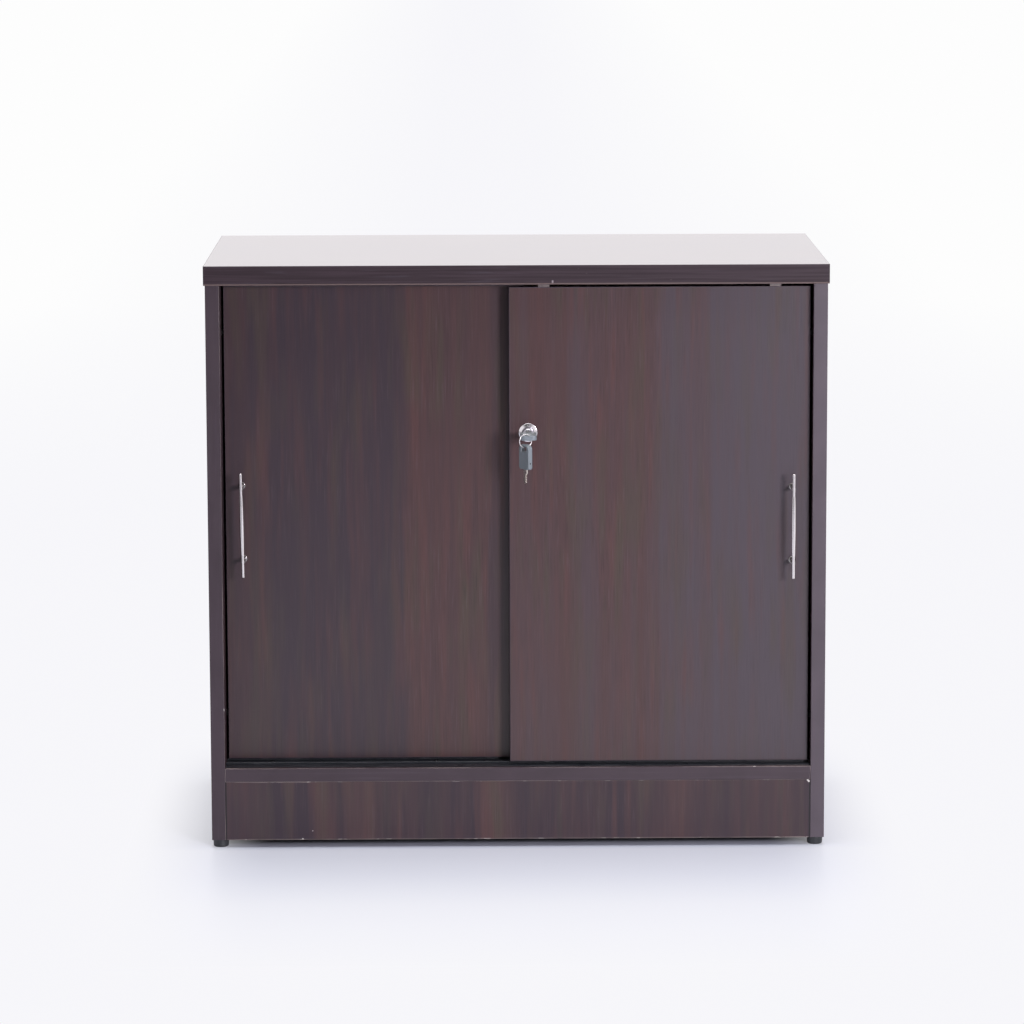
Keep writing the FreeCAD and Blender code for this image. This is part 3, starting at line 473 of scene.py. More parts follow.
def streaked_band():
    """The printed band: dark, with long level lines, rubbed smears, a paler lower edge and one chip."""
    finish, tree, shader, place = new_finish("top_streaked_band", 0.50, Specular_IOR_Level=0.2)
    lines = grain(tree, place, (0.14, 0.14, 0.0022), 31.0)
    colour = mixed(tree, ranged(tree, lines, 0.35, 0.62), line_dark, line_brown)
    smear = grain(tree, place, (0.09, 0.09, 0.004), 35.0)
    colour = mixed(tree, ranged(tree, smear, 0.60, 0.78, 0.0, 0.5), colour, rubbed_lilac)
    specks = grain(tree, place, (0.0035, 0.0035, 0.0018), 38.0, 2.0)
    colour = mixed(tree, ranged(tree, specks, 0.78, 0.80), colour, dull_speck)
    height = axes_of(tree, place)[Z]
    lowest = ranged(tree, height, band_low.z + edge_inner, band_low.z + edge_outer, 0.0, 0.8)
    colour = mixed(tree, lowest, colour, rubbed_edge)
    for rise in top_chip_heights:
        chip = spot(tree, place, (top_chip_x, band_low.y, band_low.z + rise), top_chip_radius)
        colour = mixed(tree, chip, colour, dull_chip)
    feed(tree, shader.inputs["Base Color"], colour)
    feed(tree, shader.inputs["Roughness"], ranged(tree, lines, 0.3, 0.7, 0.55, 0.44))
    bumped(tree, shader, lines, 0.08 * MM, 0.4)
    return finish


bm = bmesh.new()
add_lipping(bm, band_low, Vector((band_high.x, top_low.y, band_high.z)), Y, -1)
for start, end, sign in ((band_low.x, top_low.x, -1), (top_high.x, band_high.x, 1)):
    strip_start = Vector((start, top_low.y, band_low.z))
    strip_end = Vector((end, band_high.y, band_high.z))
    add_lipping(bm, strip_start, strip_end, X, sign)
for face in bm.faces:
    face.material_index = int(face.normal.z > square_on)
top_band_finishes = [streaked_band(), top_finish]
shaped("top_lippings", bm, top_band_finishes, "carcass", "dark_edge_band", "top_edge_band")


# Shelf, its lipping and its pins: a loose board on four steel pins pushed into holes in the sides.
# It is faced like the bottom panel and can be set in other holes.
shelf_low, shelf_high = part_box("shelf")
shelf_span = (shelf_low.y, shelf_high.y)
raw_shelf_edges = ((Y, 1), (X, 1), (X, -1))
dress(woodgrain("shelf_woodgrain", X, Y, shelf_span, level_figure, 25.0, raw_shelf_edges), "shelf")
bm = bmesh.new()
add_lipping(bm, *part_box("shelf_edge_band"), Y, -1)
shaped("shelf_lipping", bm, level_finishes, "carcass", "dark_edge_band", "shelf_edge_band")


def metal(name, colour, dull, roughness, scratch, seed):
    """Metal with fine scratches and a faintly uneven shine."""
    finish, tree, shader, place = new_finish(name, roughness, Metallic=1.0)
    marks = grain(tree, place, scratch, seed, 5.0)
    feed(tree, shader.inputs["Base Color"], mixed(tree, ranged(tree, marks, 0.35, 0.7), colour, dull))
    feed(tree, shader.inputs["Roughness"], ranged(tree, marks, 0.3, 0.7, roughness * 0.8, roughness * 1.25))
    bumped(tree, shader, marks, 0.02 * MM, 0.3)
    return finish


steel = metal("zinced_steel", (0.62, 0.62, 0.60), (0.48, 0.48, 0.49), 0.35, 0.002, 41.0)
dress(steel, "shelf_pins")


# Cam locks, cam bolts and dowels: the knock-down fittings that pull the boards together.
# The cams are die-cast zinc set in round pockets, the bolts are steel and the dowels are beech.
cast_zinc = metal("cast_zinc", (0.50, 0.50, 0.51), (0.36, 0.36, 0.38), 0.5, 0.0015, 44.0)
dress(cast_zinc, "cam_locks")
dress(steel, "cam_bolts")
pale_beech = (0.52, 0.36, 0.21)
brown_beech = (0.42, 0.27, 0.14)


def dowel_finish():
    """Plain beech with short fibres."""
    finish, tree, shader, place = new_finish("dowel_beech", 0.6)
    fibre = grain(tree, place, (0.004, 0.0008, 0.004), 47.0, 4.0)
    colour = mixed(tree, ranged(tree, fibre, 0.35, 0.65), pale_beech, brown_beech)
    feed(tree, shader.inputs["Base Color"], colour)
    bumped(tree, shader, fibre, 0.1 * MM)
    return finish


dress(dowel_finish(), "dowels")


# Glide feet: four small moulded black plastic studs, each nailed up into a side panel's lower edge.
# They taper slightly towards the floor, with a rounded rim and a shallow hollow underneath.
def moulded(name, colour, worn, roughness, seed, skin_depth=0.05 * MM, skin_size=1.2 * MM, **sockets):
    """Moulded plastic with a fine spark-eroded skin and faint rubbed patches."""
    finish, tree, shader, place = new_finish(name, roughness, **sockets)
    skin = grain(tree, place, skin_size, seed, 4.0)
    patch = grain(tree, place, 0.02, seed + 3.0)
    feed(tree, shader.inputs["Base Color"], mixed(tree, ranged(tree, patch, 0.4, 0.7), colour, worn))
    feed(tree, shader.inputs["Roughness"], ranged(tree, skin, 0.3, 0.7, roughness + 0.06, roughness - 0.06))
    bumped(tree, shader, skin, skin_depth, 0.4)
    return finish


def quarter_round(radius, centre, start, steps=4):
    """The points of a quarter circle in an outline, from a starting angle in degrees."""
    points = []
    for step in range(steps + 1):
        turn = math.radians(start + 90 * step / steps)
        points.append((centre[0] + radius * math.cos(turn), centre[1] + radius * math.sin(turn)))
    return points


def add_turned(bm, outline, at, along=(0, 0, 1), steps=40):
    """Turns an outline of (radius, distance) points about an axis through a point."""
    old = set(bm.verts)
    profile = [bm.verts.new((radius, 0, distance)) for radius, distance in outline]
    edges = [bm.edges.new(pair) for pair in zip(profile, profile[1:])]
    bmesh.ops.spin(bm, geom=profile + edges, axis=(0, 0, 1), cent=(0, 0, 0), angle=math.tau,
                   steps=steps, use_merge=True)
    bmesh.ops.remove_doubles(bm, verts=[v for v in bm.verts if v not in old], dist=0.001 * MM)
    made = [v for v in bm.verts if v not in old]
    bmesh.ops.recalc_face_normals(bm, faces=list({f for v in made for f in v.link_faces}))
    turn = Vector((0, 0, 1)).rotation_difference(Vector(along)).to_matrix().to_4x4()
    bmesh.ops.transform(bm, matrix=Matrix.Translation(at) @ turn, verts=made)
    return made


black_plastic = moulded("black_plastic", (0.016, 0.018, 0.020), (0.030, 0.032, 0.034), 0.45, 51.0)
feet_low, feet_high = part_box("feet")
foot_height = feet_high.z - feet_low.z
foot_radius = 10.25 * MM
foot_taper = 0.3 * MM
foot_rim = 2.0 * MM
foot_chamfer = 0.4 * MM
hollow_depth = 1.5 * MM
hollow_radius, hollow_mouth = 0.55 * foot_radius, 0.6 * foot_radius
foot_outline = [(0, hollow_depth), (hollow_radius, hollow_depth), (hollow_mouth, 0)]
foot_outline += quarter_round(foot_rim, (foot_radius - foot_taper - foot_rim, foot_rim), -90)
foot_outline += [(foot_radius, foot_height - foot_chamfer), (foot_radius - foot_chamfer, foot_height),
                 (0, foot_height)]
bm = bmesh.new()
for x in (feet_low.x + foot_radius, feet_high.x - foot_radius):
    for y in (feet_low.y + foot_radius, feet_high.y - foot_radius):
        add_turned(bm, foot_outline, (x, y, feet_low.z))
shaped("glide_feet", bm, [black_plastic], "carcass", "black_plastic", "feet")
dress(steel, "foot_nails")


# Tracks: a black plastic strip with two running ridges screwed to the bottom panel, and a twin
# channel let into the underside of the top panel. Both are extruded.
track_black = (0.010, 0.012, 0.016)
track_grey = (0.020, 0.022, 0.028)
track_dust = (0.10, 0.10, 0.11)


def track_finish():
    """Extruded black plastic with fine drawn lines and a little dust."""
    finish, tree, shader, place = new_finish("track_plastic", 0.32)
    drawn = grain(tree, place, (0.3, 0.0009, 0.0009), 55.0)
    dust = grain(tree, place, (0.03, 0.01, 0.01), 57.0)
    colour = mixed(tree, ranged(tree, drawn, 0.35, 0.65), track_black, track_grey)
    colour = mixed(tree, ranged(tree, dust, 0.55, 0.8, 0.0, 0.25), colour, track_dust)
    feed(tree, shader.inputs["Base Color"], colour)
    feed(tree, shader.inputs["Roughness"], ranged(tree, dust, 0.3, 0.7, 0.26, 0.42))
    bumped(tree, shader, drawn, 0.04 * MM, 0.4)
    return finish


dress(track_finish(), "bottom_track", "top_track")
black_steel = metal("blackened_steel", (0.035, 0.035, 0.038), (0.055, 0.055, 0.058), 0.4, 0.002, 59.0)
dress(black_steel, "bottom_track_screws", "top_track_screws")


# Door buffers: soft black rubber discs stuck inside the side panels, two for each door, one low and
# one high. The edge of the closing door meets them.
rubber = moulded("buffer_rubber", (0.006, 0.006, 0.006), (0.010, 0.010, 0.010), 0.85, 61.0,
                 skin_depth=0.08 * MM, Specular_IOR_Level=0.1)
dress(rubber, "door_buffers")


# Doors: two 15 mm chipboards faced with upright woodgrain and lipped on all four edges.
# The left one runs in the rear lane and the right one in front of it. The right one's cool print colour
# is painted paler and more lilac, a painted sheen.
left_low, left_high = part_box("left_door_panel")
left_span = (left_low.x, left_high.x)
left_figure = [(0.0, 0.30), (0.06, 0.35), (0.12, 0.25), (0.16, 0.05), (0.42, 0.0), (0.60, 0.05),
               (0.62, 0.95), (0.72, 0.85), (0.86, 0.90), (0.90, 0.45), (1.0, 0.40)]
right_low, right_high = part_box("right_door_panel")
right_span = (right_low.x, right_high.x)
right_figure = [(0.0, 0.95), (0.10, 0.80), (0.18, 0.90), (0.26, 0.55), (0.30, 0.95), (0.42, 0.75),
                (0.49, 0.85), (0.505, 0.25), (0.56, 0.15), (0.62, 0.35), (0.70, 0.05), (1.0, 0.0)]
door_sheen_brown = (0.064, 0.049, 0.060)
left_face = woodgrain("left_door_woodgrain", Z, X, left_span, left_figure, 71.0)
# Painted sheen: the right door's cool colour is paler and more lilac than the left door's.
right_face = woodgrain("right_door_woodgrain", Z, X, right_span, right_figure, 83.0, cool=door_sheen_brown)
dress(left_face, "left_door_panel")
dress(right_face, "right_door_panel")
dress(upright_band, "left_door_edge_band", "right_door_edge_band")


# Rollers: two to a door, let into its lower edge: a black housing with a flange, a steel axle
# and a grooved black wheel that runs on the track's ridge.
black_wheel = moulded("wheel_nylon", (0.028, 0.028, 0.030), (0.045, 0.045, 0.047), 0.4, 91.0)
for door in ("left", "right"):
    dress(black_plastic, f"{door}_door_roller_housings")
    dress(steel, f"{door}_door_roller_screws", f"{door}_door_axles")
    dress(black_wheel, f"{door}_door_left_wheel", f"{door}_door_right_wheel")


# Top guides: pale moulded plastic tongues, two to a door, with their stems set in its upper edge.
# They run in the channels of the top track and keep the door upright.
pale_plastic = moulded("guide_nylon", (0.27, 0.23, 0.22), (0.22, 0.18, 0.18), 0.5, 95.0)
dress(pale_plastic, "left_door_guides", "right_door_guides")


# Handles: a slim turned bar on two posts on each door, screwed from behind, in bright nickel.
# The bar swells between two small steps, the posts stand on collars and their nickel is painted darker,
# a painted shade, and the left bar is a little askew.
nickel = metal("bright_nickel", (0.87, 0.82, 0.82), (0.74, 0.69, 0.69), 0.16, (0.0006, 0.0006, 0.02), 101.0)
# Painted shade: the posts' nickel is a darker copy of the bar's.
shaded_post_nickel = metal("shaded_post_nickel", (0.34, 0.32, 0.32), (0.26, 0.24, 0.24), 0.14, (0.002, 0.02, 0.002), 103.0)
bar_end = 2.0 * MM
bar_step = 2.25 * MM
bar_belly = 2.75 * MM
belly_half = 38.5 * MM
belly_points = 12
bar_chamfer = 0.35 * MM
post_radius = 2.75 * MM
post_spacing = 96 * MM
outwards = (0, -1, 0)
collar_radius, collar_depth, collar_round = 4.75 * MM, 2.0 * MM, 1.2 * MM
left_tilt = math.radians(0.9)


def bar_outline(half):
    """The bar's outline along its length: slim ends and a middle that swells like a barrel."""
    lower = [(0, -half), (bar_end - bar_chamfer, -half), (bar_end, bar_chamfer - half)]
    lower.append((bar_end, -belly_half))
    belly = []
    for step in range(belly_points + 1):
        share = 2 * step / belly_points - 1
        belly.append((bar_belly - (bar_belly - bar_step) * share ** 2, belly_half * share))
    upper = [(radius, -distance) for radius, distance in reversed(lower)]
    return lower + belly + upper


def post_outline(length):
    """A post's outline from the door outwards: a rounded collar and a plain round stem."""
    collar = quarter_round(collar_round, (collar_radius - collar_round, collar_depth - collar_round), 0)
    stem = [(post_radius, collar_depth), (post_radius, length - bar_chamfer)]
    return [(0, 0), (collar_radius, 0)] + collar + stem + [(post_radius - bar_chamfer, length), (0, length)]


for door, tilt in (("left", left_tilt), ("right", 0.0)):
    low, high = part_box(f"{door}_handle_bar")
    middle = (low + high) / 2
    upright = Vector((-math.sin(tilt), 0, math.cos(tilt)))
    half = (high.z - low.z) / 2 - bar_end * math.sin(tilt)
    bm = bmesh.new()
    add_turned(bm, bar_outline(half), middle, upright)
    shaped(f"{door}_pull_bar", bm, [nickel], f"{door}_door", "satin_nickel", f"{door}_handle_bar", sharp=25)
    post_low, post_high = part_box(f"{door}_handle_posts")
    bm = bmesh.new()
    for sign in (-1, 1):
        foot = middle + upright * (sign * post_spacing / 2)
        outline = post_outline(post_high.y - post_low.y)
        add_turned(bm, outline, (foot.x, post_high.y, foot.z), outwards)
    shaped(f"{door}_pull_posts", bm, [shaded_post_nickel], f"{door}_door", "satin_nickel", f"{door}_handle_posts")
    dress(steel, f"{door}_handle_screws")


# Lock on the right door: a zinc housing screwed in from behind, and in front of it a polished rosette,
# a low cone with a rounded rim. A push plunger of satin chrome slides through both. It carries the
# turned core in its head, and its rear end is the bolt.
chrome = metal("polished_chrome", (0.82, 0.80, 0.82), (0.72, 0.70, 0.73), 0.16, 0.004, 111.0)
turning_marks, core_marks = (0.004, 0.001, 0.004), (0.0008, 0.003, 0.0008)
satin_chrome = metal("satin_chrome", (0.55, 0.54, 0.58), (0.43, 0.42, 0.46), 0.36, turning_marks, 112.0)
turned_core = metal("turned_core", (0.62, 0.61, 0.58), (0.45, 0.45, 0.45), 0.28, core_marks, 113.0)
dress(cast_zinc, "lock_housing")
dress(steel, "lock_screws")
dress(turned_core, "lock_core")
slide_gap = 0.05 * MM
plunger_radius = 6.5 * MM
rose_low, rose_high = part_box("lock_rosette")
lock_axis = (rose_low + rose_high) / 2
door_face = Vector((lock_axis.x, rose_high.y, lock_axis.z))
rose_radius = (rose_high.x - rose_low.x) / 2
rose_depth = rose_high.y - rose_low.y
rose_rim, rose_round = 1.0 * MM, 0.8 * MM
rose_bore = plunger_radius + slide_gap
rose_sink = 0.5 * MM
mouth_outer, mouth_inner = rose_bore + 1.6 * MM, rose_bore + 1.2 * MM
rose_outline = [(rose_bore, 0), (rose_radius, 0)]
rose_outline += quarter_round(rose_round, (rose_radius - rose_round, rose_rim - rose_round), 0, steps=6)
rose_outline += [(mouth_outer, rose_depth), (mouth_inner, rose_depth - rose_sink),
                 (rose_bore, rose_depth - rose_sink), (rose_bore, 0)]
bm = bmesh.new()
add_turned(bm, rose_outline, door_face, outwards, steps=64)
shaped("lock_trim_ring", bm, [chrome], "right_door", "satin_nickel", "lock_rosette", sharp=30)

core_bore = 4.75 * MM + slide_gap
core_depth = 16.55 * MM
plunger_collar = 7.5 * MM
collar_start, collar_end = 0.3 * MM, 2.5 * MM
bolt_radius = 4.0 * MM
mouth_chamfer, nose_chamfer, bolt_chamfer = 0.2 * MM, 0.6 * MM, 0.5 * MM
plunger_low, plunger_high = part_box("lock_plunger")
proud = rose_high.y - plunger_low.y
bolt_end = plunger_high.y - rose_high.y
plunger_outline = [
    (0, proud - core_depth), (core_bore, proud - core_depth), (core_bore, proud - mouth_chamfer),
    (core_bore + mouth_chamfer, proud), (plunger_radius - nose_chamfer, proud),
    (plunger_radius, proud - nose_chamfer), (plunger_radius, -collar_start),
    (plunger_collar, -collar_start), (plunger_collar, -collar_end), (bolt_radius, -collar_end),
    (bolt_radius, bolt_chamfer - bolt_end), (bolt_radius - bolt_chamfer, -bolt_end), (0, -bolt_end),
]
bm = bmesh.new()
add_turned(bm, plunger_outline, door_face, outwards, steps=56)
shaped("lock_push_barrel", bm, [satin_chrome], "lock_plunger", "lock_zinc", "lock_plunger", sharp=30)


# Return spring: three open turns of steel wire between the plunger's collar and the housing's rear wall.
# On the real lock it shortens by the plunger's stroke when pushed in; here it is built at one length.
winding_steps, wire_sides = 64, 10


def wound(radius, wide, thick, turns, rise):
    """Wire wound about Z, centred on the origin, with its ends closed."""
    bm = bmesh.new()
    wire = bmesh.ops.create_circle(bm, cap_ends=False, segments=wire_sides, radius=1.0)["verts"]
    bmesh.ops.scale(bm, vec=(wide, thick, 1), verts=wire)
    bmesh.ops.rotate(bm, cent=(0, 0, 0), matrix=Matrix.Rotation(math.radians(90), 3, "X"), verts=wire)
    bmesh.ops.translate(bm, vec=(radius, 0, -rise / 2), verts=wire)
    steps = winding_steps * turns
    bmesh.ops.spin(bm, geom=wire + list(bm.edges), axis=(0, 0, 1), cent=(0, 0, 0), dvec=(0, 0, rise / steps),
                   angle=math.tau * turns, steps=steps, use_merge=False)
    bmesh.ops.holes_fill(bm, edges=[e for e in bm.edges if e.is_boundary], sides=0)
    bmesh.ops.recalc_face_normals(bm, faces=bm.faces)
    return bm


spring_low, spring_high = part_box("lock_spring")
spring_wire = 0.3 * MM
spring_turns = 3
spring_length = spring_high.y - spring_low.y
spring_radius = (spring_high.x - spring_low.x) / 2 - spring_wire
bm = wound(spring_radius, spring_wire, spring_wire, spring_turns, spring_length - 2 * spring_wire)
along_lock = Matrix.Rotation(math.radians(-90), 4, "X")
spring_place = Matrix.Translation((spring_low + spring_high) / 2) @ along_lock
bmesh.ops.transform(bm, matrix=spring_place, verts=bm.verts)
spring = shaped("lock_return_spring", bm, [steel], "right_door", "steel", "lock_spring", sharp=40)
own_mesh(spring)


# Strike plate: a small zinc plate behind the right door, screwed to the left door's face.
# The pushed-in bolt stands beside it, so that neither door can slide.
dress(cast_zinc, "strike_plate")
dress(steel, "strike_screws")


# Keys: a stamped steel blade in a moulded grey-green head, one in the lock and a spare.
# Each head has rounded corners, a slot at its outer end for the ring and a dark rivet from edge to
# edge. Each blade has a step, three shallow cuts and a pointed tip.
head_grey, worn_grey = (0.195, 0.222, 0.236), (0.222, 0.247, 0.266)
head_plastic = moulded("key_head_plastic", head_grey, worn_grey, 0.34, 121.0, skin_depth=0.03 * MM,
                       skin_size=0.8 * MM)
blade_steel = metal("key_steel", (0.74, 0.68, 0.63), (0.54, 0.49, 0.46), 0.24, (0.004, 0.0006, 0.0006), 125.0)
head_length, head_width, head_thick = 32 * MM, 21 * MM, 6.5 * MM
outer_corner, inner_corner, head_rim = 6 * MM, 3.5 * MM, 1.0 * MM
ring_bar, slot_length, slot_width, slot_corner = 2.6 * MM, 6 * MM, 10.5 * MM, 1.2 * MM
corner_steps = 7


def rounded_loop(bm, low, high, near, far):
    """The edges of a flat rectangle with one corner radius at its low end and another at its high end."""
    corners = [(low[0], low[1]), (high[0], low[1]), (high[0], high[1]), (low[0], high[1])]
    verts = [bm.verts.new((x, y, 0)) for x, y in corners]
    bm.faces.new(verts)
    for radius, pair in ((near, (verts[0], verts[3])), (far, (verts[1], verts[2]))):
        made = bmesh.ops.bevel(bm, geom=list(pair), offset=radius, offset_type="OFFSET", affect="VERTICES",
                               segments=corner_steps, profile=0.5, material=-1)
    face = made["verts"][0].link_faces[0]
    edges = list(face.edges)
    bmesh.ops.delete(bm, geom=[face], context="FACES_ONLY")
    return edges


def thicken(bm, thickness, rim, segments):
    """Gives flat faces a thickness, half of it to each side, and rounds the rims."""
    grown = bmesh.ops.extrude_face_region(bm, geom=list(bm.faces))["geom"]
    raised = [v for v in grown if isinstance(v, bmesh.types.BMVert)]
    bmesh.ops.translate(bm, vec=(0, 0, thickness), verts=raised)
    bmesh.ops.translate(bm, vec=(0, 0, -thickness / 2), verts=bm.verts)
    bmesh.ops.recalc_face_normals(bm, faces=bm.faces)
    level = [e for e in bm.edges if abs(e.verts[0].co.z - e.verts[1].co.z) < thickness / 100]
    rims = [e for e in level if e.calc_face_angle(0.0) > math.radians(60)]
    round_edges(bm, rims, rim, segments)


def key_head(placed):
    """A flat head along +X, its width along Y: a rounded plate with a slot for the ring."""
    bm = bmesh.new()
    side, slot_side = head_width / 2, slot_width / 2
    slot_end = ring_bar + slot_length
    outer = rounded_loop(bm, (0, -side), (head_length, side), outer_corner, inner_corner)
    inner = rounded_loop(bm, (ring_bar, -slot_side), (slot_end, slot_side), slot_corner, slot_corner)
    bmesh.ops.bridge_loops(bm, edges=outer + inner)
    thicken(bm, head_thick, head_rim, segments=4)
    bmesh.ops.transform(bm, matrix=placed, verts=bm.verts)
    return bm


pin_from_end, pin_radius, pin_proud, pin_sunk = 8.4 * MM, 1.0 * MM, 0.1 * MM, 0.4 * MM


def add_head_pin(bm, placed):
    """The two ends of the rivet, one at each edge of the head, as its second material."""
    outline = [(0, -pin_sunk), (pin_radius, -pin_sunk), (pin_radius, 0), (pin_radius - pin_proud, pin_proud),
               (0, pin_proud)]
    for sign in (-1, 1):
        at = placed @ Vector((head_length - pin_from_end, sign * head_width / 2, 0))
        sideways = placed.to_3x3() @ Vector((0, sign, 0))
        made = add_turned(bm, outline, at, sideways, steps=16)
        for face in {f for v in made for f in v.link_faces}:
            face.material_index = 1


blade_width, blade_thick, blade_rim = 7 * MM, 2 * MM, 0.15 * MM
blade_in_head, blade_length = 10 * MM, 29 * MM
blade_step, step_length, step_slope, blade_tip = 1.8 * MM, 13 * MM, 0.6 * MM, 2 * MM
cut_shares = (0.30, 0.55, 0.80)
cut_half, cut_depth = 1.0 * MM, 0.9 * MM


def key_blade(placed):
    """A flat blade along +X with a step, shallow cuts and a pointed tip."""
    bm = bmesh.new()
    start = head_length - blade_in_head
    end = start + blade_length
    side = blade_width / 2
    step = end - step_length
    low_side = side - blade_step
    tip = end - blade_tip
    outline = [(start, -side), (tip, -side), (end, -side + blade_tip), (end, low_side - blade_tip)]
    outline.append((tip, low_side))
    for share in cut_shares:
        cut = end - step_length * share
        outline += [(cut + cut_half, low_side), (cut, low_side - cut_depth), (cut - cut_half, low_side)]
    outline += [(step, low_side), (step - step_slope, side), (start, side)]
    bm.faces.new([bm.verts.new((x, y, 0)) for x, y in outline])
    thicken(bm, blade_thick, blade_rim, segments=2)
    bmesh.ops.transform(bm, matrix=placed, verts=bm.verts)
    return bm


def laid(at, along, across):
    """The turn and place that lay a thing's X and Y along two directions."""
    turn = Matrix((along, across, along.cross(across))).transposed()
    return Matrix.Translation(at) @ turn.to_4x4()


key_end = Vector((lock_axis.x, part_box("key_head")[0].y, lock_axis.z))
spare_low, spare_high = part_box("spare_key_head")
spare_middle = (spare_low + spare_high) / 2
spare_end = Vector((spare_middle.x, spare_middle.y, spare_high.z))
spare_turn = math.radians(55)
spare_across = Vector((math.cos(spare_turn), -math.sin(spare_turn), 0))
key_places = {
    "key": laid(key_end, Vector((0, 1, 0)), Vector((1, 0, 0))),
    "spare_key": laid(spare_end, Vector((0, 0, -1)), spare_across),
}
for key, placed in key_places.items():
    bm = key_head(placed)
    add_head_pin(bm, placed)
    shaped(f"{key}_grip", bm, [head_plastic, black_steel], key, "key_plastic", f"{key}_head", sharp=40)
    shaped(f"{key}_shank", key_blade(placed), [blade_steel], key, "steel", f"{key}_blade", sharp=30)


# Key ring: a split ring of springy steel, wound twice round from a flattened wire.
# It hangs in the slot of the key in the lock, and the spare key hangs on it.
ring_steel = metal("ring_steel", (0.80, 0.77, 0.77), (0.66, 0.64, 0.64), 0.34, 0.0015, 127.0)
ring_low, ring_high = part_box("key_ring")
ring_radius = 8.55 * MM
wire_wide, wire_thick = 0.52 * MM, 0.27 * MM
ring_turns = 2
ring_turn = math.radians(25)
ring_level = Vector((math.cos(ring_turn), math.sin(ring_turn), 0))
ring_place = laid((ring_low + ring_high) / 2, ring_level, Vector((0, 0, 1)))
bm = wound(ring_radius, wire_wide, wire_thick, ring_turns, 2 * wire_thick)
bmesh.ops.transform(bm, matrix=ring_place, verts=bm.verts)
shaped("split_ring", bm, [ring_steel], "key_ring", "steel", "key_ring", sharp=40)


# Stage: a wide white paper floor that keeps the cabinet's shadow and fades into a white room.
# The paper's colour is darkened under the cabinet, a painted shade. It glows where it is seen
# farther off, and is whitest far behind at both sides.
floor_half = 30.0
floor_white = [(0.0, 0.0), (0.176, 0.0), (0.192, 0.27), (0.22, 0.27), (0.32, 0.37), (0.47, 0.72), (0.75, 1.0)]
painted_floor_shade = [(0.0, 0.15), (0.137, 0.15), (0.151, 0.40), (0.161, 0.70), (0.181, 1.0)]
blue_paper, pale_paper = (0.75, 0.79, 0.94), (0.78, 0.81, 0.95)
painted_shade_colour = (0.0, 0.0, 0.0)
dark_room_floor = (0.10, 0.10, 0.11)
near_white, far_white = (0.928, 0.925, 0.957), (0.983, 0.983, 0.983)
shade_back, shade_side = (0.05, 0.15), (0.37, 0.40)
fade_back, fade_side = (0.12, 0.50), (0.32, 0.51)
open_back, open_side = (2.5, 6.0), (0.2, 1.3)
paper_reach = (-4.6, -1.0)
painted_light_side = (-0.7, 0.1)


def floor_finish():
    """Paper that takes the shadow near the cabinet, darkened under it by painted shade, and turns to plain
    white away from it.
    """
    finish, tree, shader, place = new_finish("studio_floor", 0.35, Specular_IOR_Level=0.25)
    parts = axes_of(tree, place)
    across = maths(tree, "ABSOLUTE", parts[X])
    forward = ranged(tree, parts[Y], 0.0, -1.0)
    paper = mixed(tree, grain(tree, place, 1.5, 131.0), blue_paper, pale_paper)
    # Painted shade: under the cabinet the paper's colour is darkened, fading out just in front of it and at
    # its back and sides.
    clear = maths(tree, "MAXIMUM", ranged(tree, parts[Y], *shade_back), ranged(tree, across, *shade_side))
    painted_shade = maths(tree, "MAXIMUM", ramp(tree, forward, painted_floor_shade), clear)
    paper = mixed(tree, painted_shade, painted_shade_colour, paper)
    spread = ranged(tree, parts[Y], *paper_reach)
    feed(tree, shader.inputs["Base Color"], mixed(tree, spread, dark_room_floor, paper))
    beside = ranged(tree, across, *fade_side, course="SMOOTHSTEP")
    behind = ranged(tree, parts[Y], *fade_back, course="SMOOTHSTEP")
    ahead = maths(tree, "MAXIMUM", ramp(tree, forward, floor_white), behind)
    both = maths(tree, "MULTIPLY", ahead, beside)
    far = maths(tree, "SUBTRACT", maths(tree, "ADD", ahead, beside), both)
    rays = tree.nodes.new("ShaderNodeLightPath").outputs
    # Painted light: seen in glossy rays the paper glows less to the left than to the right.
    painted_light = maths(tree, "MULTIPLY", spread, ranged(tree, parts[X], *painted_light_side, 0.35, 1.0))
    mirrored = maths(tree, "MULTIPLY", rays["Is Glossy Ray"], painted_light)
    seen = maths(tree, "MAXIMUM", rays["Is Camera Ray"], mirrored)
    open_floor = maths(tree, "MULTIPLY", ranged(tree, parts[Y], *open_back), ranged(tree, across, *open_side))
    bright = mixed(tree, open_floor, near_white, far_white)
    white = add(tree, "ShaderNodeEmission", {"Color": bright, "Strength": 1.0})
    shares = {0: maths(tree, "MULTIPLY", far, seen), 1: shader.outputs[0], 2: white}
    surface = add(tree, "ShaderNodeMixShader", shares)
    feed(tree, tree.nodes["Material Output"].inputs["Surface"], surface)
    return finish


bm = bmesh.new()
bmesh.ops.create_grid(bm, x_segments=1, y_segments=1, size=floor_half)
floor_mesh = bpy.data.meshes.new("studio_floor")
bm.to_mesh(floor_mesh)
bm.free()
floor_mesh.materials.append(floor_finish())
in_scene("studio_floor", floor_mesh)


# Light: a strong soft box at the front right, a weak one at the front left and a wide one overhead,
# in a room that is white behind the cabinet. In front it is dimmer, so that the doors mirror little.
def soft_box(name, at, aim, size, power, tint=(1.0, 1.0, 1.0)):
    """A square lamp of a given width that looks at a point."""
    lamp = bpy.data.lights.new(name, "AREA")
    lamp.size = size
    lamp.energy = power
    lamp.color = tint
    made = in_scene(name, lamp)
    turn = (Vector(aim) - Vector(at)).to_track_quat("-Z", "Y").to_matrix().to_4x4()
    made.matrix_world = Matrix.Translation(at) @ turn
    made.visible_camera = False


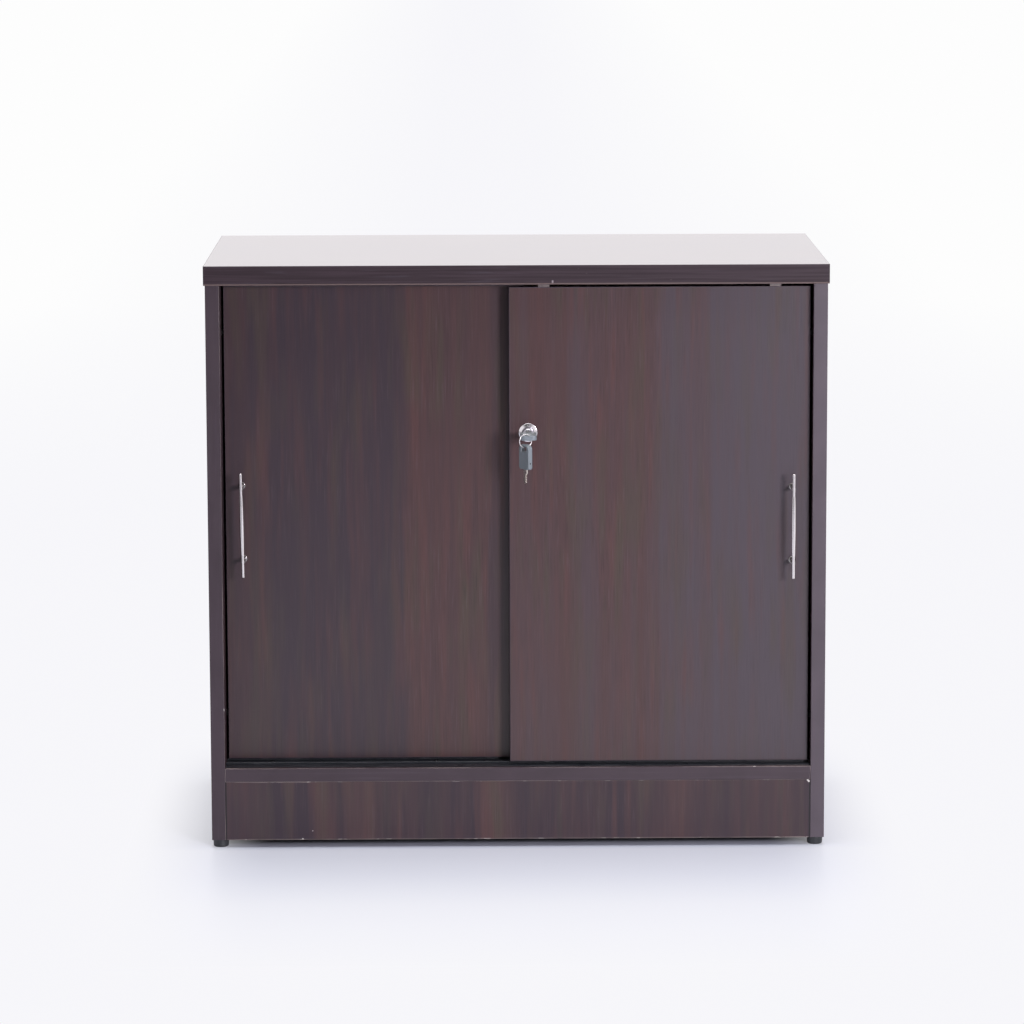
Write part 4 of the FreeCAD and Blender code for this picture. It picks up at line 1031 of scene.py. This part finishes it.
soft_box("front_right_box", (1.75, -3.45, 1.15), (0.0, 0.0, 0.42), size=0.8, power=115,
         tint=(0.97, 0.93, 1.0))
soft_box("front_left_box", (-2.6, -3.2, 1.5), (0.0, 0.0, 0.45), size=1.6, power=3)
soft_box("overhead_box", (0.0, -0.1, 3.3), (0.0, -0.1, 0.0), size=2.6, power=100)

room_front = [(0.0, 1.0), (0.20, 0.9), (0.33, 0.12), (0.50, 0.15), (0.67, 0.35), (0.80, 0.9), (1.0, 1.0)]
room_white, mirrored_white = (1.0, 1.0, 1.0), (1.0, 0.965, 0.99)
room_fill, room_seen = 0.07, 0.97
room_turn = (-0.35, 0.05)
world = bpy.data.worlds.new("white_room")
bpy.context.scene.world = world
world.use_nodes = True
tree = world.node_tree
background = tree.nodes["Background"].inputs
rays = tree.nodes.new("ShaderNodeLightPath").outputs
around = axes_of(tree, tree.nodes.new("ShaderNodeTexCoord").outputs["Generated"])
front = ramp(tree, ranged(tree, around[X], -1.0, 1.0), room_front)
mirrored = ranged(tree, around[Y], *room_turn, front, 1.0)
glossy = maths(tree, "MAXIMUM", rays["Is Glossy Ray"], rays["Is Transmission Ray"])
shown = ranged(tree, rays["Is Camera Ray"], 0.0, 1.0, room_fill, room_seen)
feed(tree, background["Color"], mixed(tree, glossy, room_white, mirrored_white))
feed(tree, background["Strength"], ranged(tree, glossy, 0.0, 1.0, shown, mirrored))


# Camera: a long lens in front of the cabinet, a little left of its middle and above its top.
# It looks slightly down, and its picture is shifted as the photograph is framed.
view_place = Vector((-0.051, -5.3969, 1.313))
view_pitch, view_yaw, view_roll = math.radians(8.09), math.radians(0.49), math.radians(-0.173)
level_look = Vector((math.sin(view_yaw), math.cos(view_yaw), 0))
look = level_look * math.cos(view_pitch) - Vector((0, 0, math.sin(view_pitch)))
side = Vector((math.cos(view_yaw), -math.sin(view_yaw), 0))
upward = side.cross(look)
rolled_side = side * math.cos(view_roll) + upward * math.sin(view_roll)
rolled_up = upward * math.cos(view_roll) - side * math.sin(view_roll)
lens = bpy.data.cameras.new("photo_camera")
lens.sensor_width = 36.0
lens.lens = 144.63
lens.shift_y = -0.0977
camera = in_scene("photo_camera", lens)
camera.matrix_world = laid(view_place, rolled_side, rolled_up)
bpy.context.scene.camera = camera
bpy.context.scene.view_settings.view_transform = "Standard"
